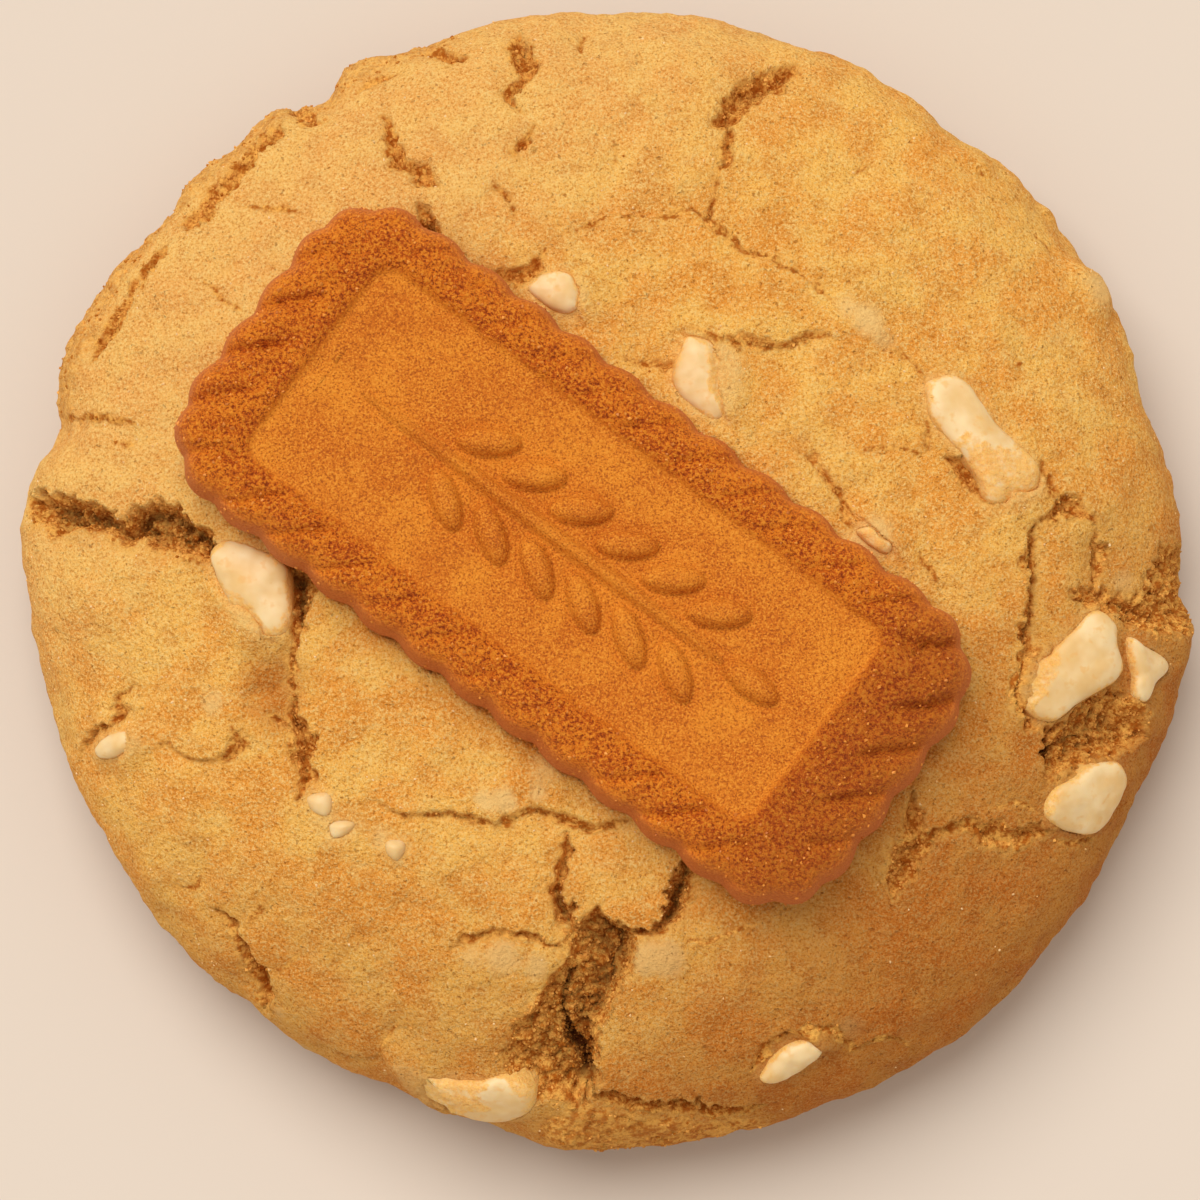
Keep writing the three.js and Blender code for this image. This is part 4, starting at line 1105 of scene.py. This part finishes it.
def sunk_piece(outline, rings, seed, film_from=0.0, cover_reach=0.0, film_reach=0.0, around=72, rough=1.0):
    """A rounded piece with the outline seen from above, square to the crust, and its share of dough film and
    painted side shade.
    """
    rim = smooth_run(outline, 0.1, closed=True)[:-1]
    rim = rim[np.linspace(0, len(rim), around, endpoint=False).astype(int)]
    area = np.cross(rim, np.roll(rim, -1, axis=0)).sum()
    rim = rim if area > 0 else rim[::-1]
    plan_middle = rim.mean(axis=0)
    seat, normal = seat_of(laid_flat([plan_middle]))
    rays = np.column_stack([rim - plan_middle, np.zeros(len(rim))])
    rays[:, 2] = -(rays[:, :2] @ normal[:2]) / normal[2]
    levels = smooth_run(np.array(rings)[:, ::-1], 0.2)
    top = levels[-1]
    levels = np.concatenate([levels, [[top[0] + TOP_RISE * (1 - k * k), top[1] * k] for k in TOP_RINGS]])
    points = [seat + normal * levels[0, 0]]
    faces = []
    last = None
    for height, share in levels:
        ring = list(range(len(points), len(points) + len(rays)))
        points += list(seat + rays * share + normal * height)
        if last is None:
            faces += [(ring[(k + 1) % len(ring)], ring[k], 0) for k in range(len(ring))]
        else:
            faces += stitch(last, ring)
        last = ring
    points.append(seat + normal * (levels[-1, 0] + 0.001))
    faces += [(last[k], last[(k + 1) % len(last)], len(points) - 1) for k in range(len(last))]
    points, faces = np.array(points), np.array(faces)
    out = normals_of(points, faces)
    height = (points - seat) @ normal
    shown = ramp(height, -1.2, 0.2)
    flat_rim = smooth_run(laid_flat(outline), 0.5, closed=True)[:-1]
    flat_points = laid_flat(points[:, :2])
    covered = dough_cover(flat_points, flat_rim, film_from, cover_reach)
    shown *= 1 - covered
    worn = 0.17 * lumps(points, 2.4, seed) - 0.12 * np.abs(lumps(points, 1.7, seed + 1)) \
        + 0.05 * lumps(points, 0.7, seed + 2)
    # Dough clings where it reaches over the piece and thickly at the skin; the golden band down the sides,
    # below the lit top, is partly a thin film of dough and partly painted shade
    film = FILM_STRENGTH * dough_cover(flat_points, flat_rim, film_from, film_reach)
    film = np.maximum(film, 0.6 * ramp(height + 0.4 * lumps(points, 1.2, seed + 3), 0.95, 0.35))
    film = np.maximum(film, 0.9 * ramp(height + 0.35 * lumps(points, 0.8, seed + 4), 0.42, 0.02))
    points = points - normal * (COVER_PRESS * covered * ramp(height, -0.5, 0.4))[:, None]
    return points + out * (rough * worn * shown)[:, None], faces, film


# White chocolate: cream with a soft sheen, faintly see-through and a little mottled by cocoa
# butter; a film of sandy dough clings to its sides, and painted shade makes them more golden than the lit top
chocolate_material = new_material("white chocolate")
tree = chocolate_material.node_tree
broad, veins, ragged, waxy = patterns(tree, 2.4, 1.0, 0.5, (0.5, 3, 0.55))
film, = kept_values(tree, "film")
film_colour, film_relief = baked_skin(tree)
covered = eased(tree, sum_of(tree, (film, 1.0), (ragged, 0.8)), 0.72, 1.10, 0.9)
chocolate = coats(tree, "#E5BE7E", (broad, "#F0D5A2", 0.3, 0.7), (veins, "#E6AE5C", 0.56, 0.72, 0.5))
colour = coats(tree, chocolate, (covered, coats(tree, film_colour, (0.6, "#F4BE66"))))
relief = sum_of(tree, (waxy, 0.35), (covered, 0.4))
bump = add_node(tree, "ShaderNodeBump", {"Height": relief, "Strength": 0.5, "Distance": 0.1 * MM})
grainy = add_node(tree, "ShaderNodeBump", {
    "Height": film_relief, "Strength": covered, "Distance": 0.1 * MM, "Normal": bump.outputs["Normal"],
})
finish_material(chocolate_material, {
    "Base Color": colour,
    "Roughness": eased(tree, covered, 0, 1, 0.85, 0.42),
    "IOR": 1.46,
    "Specular IOR Level": 0.4,
    "Subsurface Weight": 0.25,
    "Subsurface Radius": (1.0, 0.7, 0.35),
    "Subsurface Scale": 1.0 * MM,
    "Normal": grainy.outputs["Normal"],
})

for number, (name, (*covering, outline)) in enumerate(CHUNKS.items()):
    points, faces, film = sunk_piece(outline, CHUNK_RINGS, 100 + number * 5, *covering)
    piece = new_piece(name + "_chocolate", points * MM, faces, chocolate_material)
    store(piece, "film", film)
    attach(piece, "root")
    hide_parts(name)

for number, (name, outline) in enumerate(nib_outlines.items()):
    points, faces, _ = sunk_piece(outline, NIB_RINGS, 160 + number * 5, around=28, rough=0.7)
    piece = new_piece(name + "_chocolate", points * MM, faces, chocolate_material)
    store(piece, "film", [])
    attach(piece, "root")
    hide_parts(name)


# ---------------------------------------------------------------- the caramelised biscuit
# A thin spiced biscuit, stamped out of a mould and baked crisp: a scalloped edge, a ribbed sandy
# rim and a smooth flat field with a raised ear of grain. It is pressed into the cookie's top.
FIELD_HALF = (25.0, 9.4)
FIELD_CENTRE = (-0.8, 0.0)
FIELD_CORNER = 1.6
FIELD_DROP = 0.62
RIB_DEPTH = 0.55
RIB_SLANT = math.radians(42)
RIB_END = 5.4
# Longest edges of the mesh, from the underside inward
UNDER_STEP = 0.8
FIELD_STEP = 0.8
EAR_STEP = 0.3
RIM_STEP = 0.35
SIDE_STEP = 0.6
# Section from the base outward and over the edge: inset, height
BISCUIT_SECTION = [(1.5, 0.0), (0.7, 0.35), (0.35, 0.9), (0.0, 2.4), (0.4, 4.75), (0.85, 5.5), (1.6, 6.02),
                   (2.8, 6.28), (4.5, 6.34), (20.0, 6.34)]
GRAIN_PAIRS = 6
GRAIN_HALF = (2.5, 1.1)
GRAIN_HEIGHT = 0.95
GRAIN_PITCH = 4.6
GRAIN_LEAN = math.radians(34)
GRAIN_OFFSET = 1.5
STALK_HALF_WIDTH = 0.6
EAR_START = -12.6
STALK_START = -20.0
STALK_SHARE = 0.85  # of the kernels' height

section = smooth_run(BISCUIT_SECTION, 0.1)
edge_at = int(np.argmin(section[:, 0]))
section_reach = np.concatenate([[0], np.cumsum(np.linalg.norm(np.diff(section, axis=0), axis=1))])
section_reach -= section_reach[edge_at]
side_length = -section_reach[0]


def out_of(local):
    """The nearest place of the biscuit's core and the direction out of it."""
    core = np.clip(local, -core_half, core_half)
    out = local - core
    return core, out / np.maximum(np.linalg.norm(out, axis=1, keepdims=True), 1e-9)


def on_biscuit(spots):
    """Spots of the biscuit laid out flat, put in their places on it, without relief."""
    inset = box_inset(spots, biscuit_half, BISCUIT_CORNER)
    core, out = out_of(spots)
    wall = inset < 0
    pulled = np.interp(inset, section_reach, section[:, 0])
    on_wall = core + out * (BISCUIT_CORNER - pulled)[:, None]
    plan = np.where(wall[:, None], on_wall, spots)
    height = np.where(wall, np.interp(inset, section_reach, section[:, 1]),
                      np.interp(inset, section[edge_at:, 0], section[edge_at:, 1]))
    return np.column_stack([plan, height])


def biscuit_step(spots):
    inset = box_inset(spots, biscuit_half, BISCUIT_CORNER)
    on_ear = (np.abs(spots[:, 0]) < 21.5) & (np.abs(spots[:, 1]) < 6.2)
    inner = np.where(on_ear, EAR_STEP, FIELD_STEP)
    on_rim = box_inset(spots - FIELD_CENTRE, FIELD_HALF, FIELD_CORNER) < 0.9
    outer = np.where(inset < -3.5, UNDER_STEP, SIDE_STEP)
    return np.where(inset < 0, outer, np.where(on_rim, RIM_STEP, inner))


# Rings from the foot of the side wall in to the line along the field's middle
even = np.arange(160) / 160 * perimeter
cores, outs = out_of(np.column_stack([np.interp(even, rim_reach, column) for column in biscuit_rim[:, :2].T]))
rings = [cores + outs * (BISCUIT_CORNER + away) for away in np.arange(side_length, 0, -1.4)]
rings += [cores + outs * (BISCUIT_CORNER - away) for away in np.arange(0, 7.3, 1.2)]
spine = np.column_stack([np.clip(cores[:, 0], -core_half[0] + 2, core_half[0] - 2), np.zeros(len(cores))])
rings += [rings[-1] * (1 - share) + spine * share for share in (0.35, 0.7)]
biscuit_spots = np.concatenate(rings)
biscuit_faces = []
for k in range(len(rings) - 1):
    lower = list(range(k * len(cores), (k + 1) * len(cores)))
    biscuit_faces += stitch(lower, [n + len(cores) for n in lower])
first = (len(rings) - 1) * len(cores)
half_count = len(cores) // 2
for k in range(half_count):
    a, b = first + k, first + k + 1
    c, d = first + (len(cores) - k) % len(cores), first + len(cores) - k - 1
    if c != a:
        biscuit_faces.append((a, b, c))
    if d != b:
        biscuit_faces.append((b, d, c))
biscuit_spots, biscuit_faces = refine(biscuit_spots, np.array(biscuit_faces), on_biscuit, biscuit_step)

local = on_biscuit(biscuit_spots)
inset = box_inset(biscuit_spots, biscuit_half, BISCUIT_CORNER)
field_inset = box_inset(biscuit_spots - FIELD_CENTRE, FIELD_HALF, FIELD_CORNER)
_, out = out_of(biscuit_spots)
pulled, reach = scallop(biscuit_spots)
lobe_share = np.interp(inset, [-side_length, -side_length + 1.2, 0, 1.4, 3.2, 5.6], [0.5, 1, 1, 0.85, 0.3, 0])
local[:, :2] -= out * (pulled * lobe_share)[:, None]
# The ribs all lean the same way, so they run in from the notches at a slant
lean = RIB_SLANT - np.arctan2(out[:, 1], out[:, 0])
slanted = reach + np.clip(np.tan(lean), -1.8, 1.8) * np.clip(inset, 0, 7)
rib_turn = LOBE_COUNT * slanted / perimeter + LOBE_STRAY * lumps(local, LOBE_STRAY_SIZE, 40)
rib_wave = np.abs(np.sin(math.pi * rib_turn))
rib_share = np.interp(inset, [-0.4, 0.9, 3.6, RIB_END], [0, 1, 0.9, 0]) * ramp(field_inset, -0.3, -1.1)
rib_share *= ramp(np.cos(lean) ** 2, 0.08, 0.7) * np.clip(0.85 + 0.9 * lumps(local, 9.0, 41), 0.25, 1.4)
rib_share *= np.interp(np.abs(local[:, 0]), [10, 26], [0.8, 1.3])
height = -RIB_DEPTH * rib_share * (np.exp(-(rib_wave / 0.34) ** 2) + 0.4 * (1 - rib_wave))
worn = np.clip(0.5 + 0.9 * lumps(local, 9.0, 50), 0, 1)
height -= FIELD_DROP * ramp(field_inset + 0.25 * lumps(local, 3.0, 51), -0.75 - 0.9 * worn, 0.15 + 0.3 * worn)
height -= 0.06 * (1 - worn) * np.exp(-((field_inset - 0.3) / 0.3) ** 2)
sandy = np.interp(inset, [-2.0, 0.3, 1.5, 3.0], [0.0, 0.4, 0.9, 1.0]) * ramp(field_inset, 0.1, -0.6)
top = ramp(inset, -0.3, 0.6)
height += sandy * (0.10 * lumps(local, 1.6, 42) + 0.22 * (0.35 - np.abs(lumps(local, 0.9, 43)))
                   + 0.18 * (0.35 - np.abs(lumps(local, 0.55, 44))))
height += top * (0.07 * lumps(local, 4.5, 45) + 0.02 * lumps(local, 1.1, 46))

# The ear of grain: a stalk, leaning pairs of kernels and one at the tip
stalk_end = EAR_START + GRAIN_PAIRS * GRAIN_PITCH
kernels = [((STALK_START + stalk_end) / 2, 0.0, 0.0, (stalk_end - STALK_START) / 2, STALK_HALF_WIDTH,
            STALK_SHARE),
           (stalk_end + GRAIN_HALF[0] + 0.3, 0.0, 0.0, *GRAIN_HALF, 1.0)]
for k, side in itertools.product(range(GRAIN_PAIRS), (-1, 1)):
    kernels.append((
        EAR_START + k * GRAIN_PITCH + GRAIN_HALF[0] * math.cos(GRAIN_LEAN),
        side * (GRAIN_OFFSET + GRAIN_HALF[0] * math.sin(GRAIN_LEAN)),
        side * GRAIN_LEAN, *GRAIN_HALF, 1.0,
    ))
ear = np.zeros(len(local))
moat = np.zeros(len(local))
for x, y, turn, half_length, half_width, share in kernels:
    dx, dy = local[:, 0] - x, local[:, 1] - y
    along = dx * math.cos(turn) + dy * math.sin(turn)
    across = dy * math.cos(turn) - dx * math.sin(turn)
    oval = np.hypot(along / half_length, across / half_width)
    body = GRAIN_HEIGHT * share * np.clip(1.15 - oval ** 2.2, 0, 1) ** 0.6
    ear = np.maximum(ear, body)
    moat = np.maximum(moat, np.exp(-(np.maximum(oval - 1.1, 0) * half_width / 0.45) ** 2) * (oval > 1.06))
height += np.where(field_inset > 0.5, ear - 0.16 * moat * (ear < 0.03), 0)

biscuit_out = normals_of(local, biscuit_faces)
wall = ramp(inset, 0.4, -0.4)
local[:, 2] += height * (1 - wall)
local += biscuit_out * (wall * (0.05 * lumps(local, 1.4, 47) + 0.03 * lumps(local, 0.6, 48)))[:, None]
biscuit_points, biscuit_faces = seal(local, biscuit_faces, np.zeros(3))
c, s = math.cos(BISCUIT_TURN), math.sin(BISCUIT_TURN)
biscuit_points = np.column_stack([
    biscuit_points[:, 0] * c - biscuit_points[:, 1] * s + BISCUIT_CENTRE[0],
    biscuit_points[:, 0] * s + biscuit_points[:, 1] * c + BISCUIT_CENTRE[1],
    biscuit_points[:, 2] + BISCUIT_UNDERSIDE,
])

# Caramelised biscuit: matt orange brown, fine even grain on the field, coarse sugar sand on the rim,
# smoother and redder down the side
biscuit_material = new_material("caramelised biscuit")
tree = biscuit_material.node_tree
broad, grit, fine, rim_grit, rim_broad, rim_lumps, field_lumps = patterns(
    tree, 5.0, (0.18, 3, 0.72), 0.13, (0.27, 4, 0.78), 1.8, 0.7, 0.9)
rim_share, side_share, rim_painted_shade = kept_values(tree, "sandy", "side", "toasted")
rim_colour = coats(
    tree, "#D8640C",
    (rim_broad, "#F08018", 0.36, 0.64),
    # the sand lighter where it stands up and darker in its gaps, partly its own tones and partly painted
    # glints and shade
    (rim_grit, "#FF9E2C", 0.51, 0.57, 0.95),
    (rim_grit, "#923404", 0.475, 0.40, 0.95),
    # painted shade: the rim darker and browner towards the end that faces away from the light
    (rim_painted_shade, "#8E3E10", 0, 1, 0.42),
)
colour = coats(
    tree, "#D57212",
    (broad, "#E88A20", 0.35, 0.7),
    (grit, "#F6A236", 0.515, 0.61, 0.75),
    (grit, "#98440A", 0.475, 0.38, 0.75),
    (rim_share, rim_colour),
    (side_share, coats(tree, "#C4622A", (grit, "#D8803E", 0.35, 0.65))),
)
rough_sand = sum_of(tree, (rim_grit, 2.6), (fine, 0.4), (rim_lumps, 2.2))
smooth_sand = sum_of(tree, (grit, 1.2), (fine, 0.4), (field_lumps, 0.5))
relief = add_node(tree, "ShaderNodeMix", {"Factor": rim_share, 2: smooth_sand, 3: rough_sand})
bump = add_node(tree, "ShaderNodeBump", {"Height": relief.outputs[0], "Strength": 1.0, "Distance": 0.15 * MM})
finish_material(biscuit_material, {
    "Base Color": colour,
    "Roughness": 0.6,
    "IOR": 1.45,
    "Specular IOR Level": 0.3,
    "Normal": bump.outputs["Normal"],
})

biscuit = new_piece("caramelised_biscuit", biscuit_points * MM, biscuit_faces, biscuit_material)
store(biscuit, "sandy", sandy)
# Painted shade, growing towards the end that faces away from the light
store(biscuit, "toasted", ramp(local[:, 0], 17, 31))
store(biscuit, "side", ramp(inset, 1.1, 0.0), beyond=1.0)
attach(biscuit, "root")
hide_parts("biscuit")


# ---------------------------------------------------------------- crumbs and sugar
# Loose crumb lies in the cracks and along their torn edges. Grains of sugar stud the crust, and
# coarser caramelised grains stud the biscuit's rim.
def scattering():
    """Node tree that puts small uneven grains on a surface, thickest where the stored density is high."""
    made = bpy.data.node_groups.new("grains on a surface", "GeometryNodeTree")
    for name, kind in (("Surface", "NodeSocketGeometry"), ("Where", "NodeSocketString"),
                       ("Density", "NodeSocketFloat"), ("Smallest", "NodeSocketFloat"),
                       ("Largest", "NodeSocketFloat"), ("Seed", "NodeSocketInt"),
                       ("Material", "NodeSocketMaterial")):
        made.interface.new_socket(name, in_out="INPUT", socket_type=kind)
    made.interface.new_socket("Grains", in_out="OUTPUT", socket_type="NodeSocketGeometry")
    given = add_node(made, "NodeGroupInput").outputs
    share = add_node(made, "GeometryNodeInputNamedAttribute", {"Name": given["Where"]}, data_type="FLOAT")
    density = add_node(made, "ShaderNodeMath", {0: share.outputs["Attribute"], 1: given["Density"]},
                       operation="MULTIPLY")
    spots = add_node(made, "GeometryNodeDistributePointsOnFaces", {
        "Mesh": given["Surface"], "Density": density.outputs["Value"], "Seed": given["Seed"],
    })
    chances = []
    for seed, low, high in (
        (1, (0, 0, 0), (math.tau,) * 3), (2, given["Smallest"], given["Largest"]),
        (3, (0.7, 0.7, 0.6), (1.3, 1.2, 1.0)), (4, 0.0, 1.0), (5, (-0.42,) * 3, (0.42,) * 3),
    ):
        first, kind = (0, "FLOAT_VECTOR") if isinstance(low, tuple) else (2, "FLOAT")
        value = add_node(made, "FunctionNodeRandomValue", {first: low, first + 1: high, "Seed": seed},
                         data_type=kind)
        chances.append(value.outputs[first // 2])
    turn, size, stretch, tone, dents = chances
    scale = add_node(made, "ShaderNodeVectorMath", {0: stretch, "Scale": size}, operation="SCALE")
    ball = add_node(made, "GeometryNodeMeshIcoSphere", {"Radius": 1.0, "Subdivisions": 1})
    crumb = add_node(made, "GeometryNodeSetPosition", {"Geometry": ball.outputs["Mesh"], "Offset": dents})
    placed = add_node(made, "GeometryNodeInstanceOnPoints", {
        "Points": spots.outputs["Points"], "Instance": crumb.outputs["Geometry"],
        "Rotation": turn, "Scale": scale.outputs["Vector"],
    })
    toned = add_node(made, "GeometryNodeStoreNamedAttribute", {
        "Geometry": placed.outputs["Instances"], "Name": "tone", "Value": tone,
    }, data_type="FLOAT", domain="INSTANCE")
    real = add_node(made, "GeometryNodeRealizeInstances", {"Geometry": toned.outputs["Geometry"]})
    coloured = add_node(made, "GeometryNodeSetMaterial", {
        "Geometry": real.outputs["Geometry"], "Material": given["Material"],
    })
    add_node(made, "NodeGroupOutput", {"Grains": coloured.outputs["Geometry"]})
    return made


def scatter(name, host, tree, slot, **inputs):
    """Grains over the host's surface, as a plain mesh of their own."""
    modifier = host.modifiers.new(name, "NODES")
    modifier.node_group = tree
    for title, value in inputs.items():
        modifier[tree.interface.items_tree[title].identifier] = value
    depsgraph = bpy.context.evaluated_depsgraph_get()
    mesh = bpy.data.meshes.new_from_object(host.evaluated_get(depsgraph), depsgraph=depsgraph)
    host.modifiers.remove(modifier)
    piece = bpy.data.objects.new(name, mesh)
    bpy.context.scene.collection.objects.link(piece)
    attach(piece, "root")


def grain_material(name, dark, light, roughness, gloss):
    """Grains that differ in tone from one to the next, and are painted browner deep in a crack, as painted
    shade.
    """
    material = new_material(name)
    tree = material.node_tree
    tone, deep = kept_values(tree, "tone", "deep")
    colour = coats(tree, dark, (tone, light), (deep, "#763A0A", 0.2, 0.95, 0.8))
    return finish_material(material, {
        "Base Color": colour, "Roughness": roughness, "Specular IOR Level": gloss,
    })


grain_tree = scattering()
# Loose crumb: the same dough as the crust, so its tones run from brown to golden
crumb_material = grain_material("loose crumb", "#B0681E", "#F2B45C", 0.9, 0.05)
scatter("crumbs", cookie, grain_tree, "crust", Where="crumbly", Density=6.0e6, Smallest=0.05 * MM,
        Largest=0.17 * MM, Seed=5, Material=crumb_material)
# Sugar on the crust: pale, glassy specks that catch the light
sugar_material = grain_material("sugar grains", "#E8B468", "#F6D6A0", 0.6, 0.2)
scatter("crust_sugar", cookie, grain_tree, "crust", Where="open_skin", Density=0.15e6, Smallest=0.05 * MM,
        Largest=0.12 * MM, Seed=6, Material=sugar_material)
# Caramelised sugar sand on the rim: orange to golden, slightly glassy
sand_material = grain_material("caramelised sugar grains", "#B86018", "#EC9A3C", 0.45, 0.35)
scatter("biscuit_sand", biscuit, grain_tree, "caramelised_biscuit", Where="sandy", Density=0.8e6,
        Smallest=0.06 * MM, Largest=0.17 * MM, Seed=7, Material=sand_material)


# ---------------------------------------------------------------- the finished part's size
low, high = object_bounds()
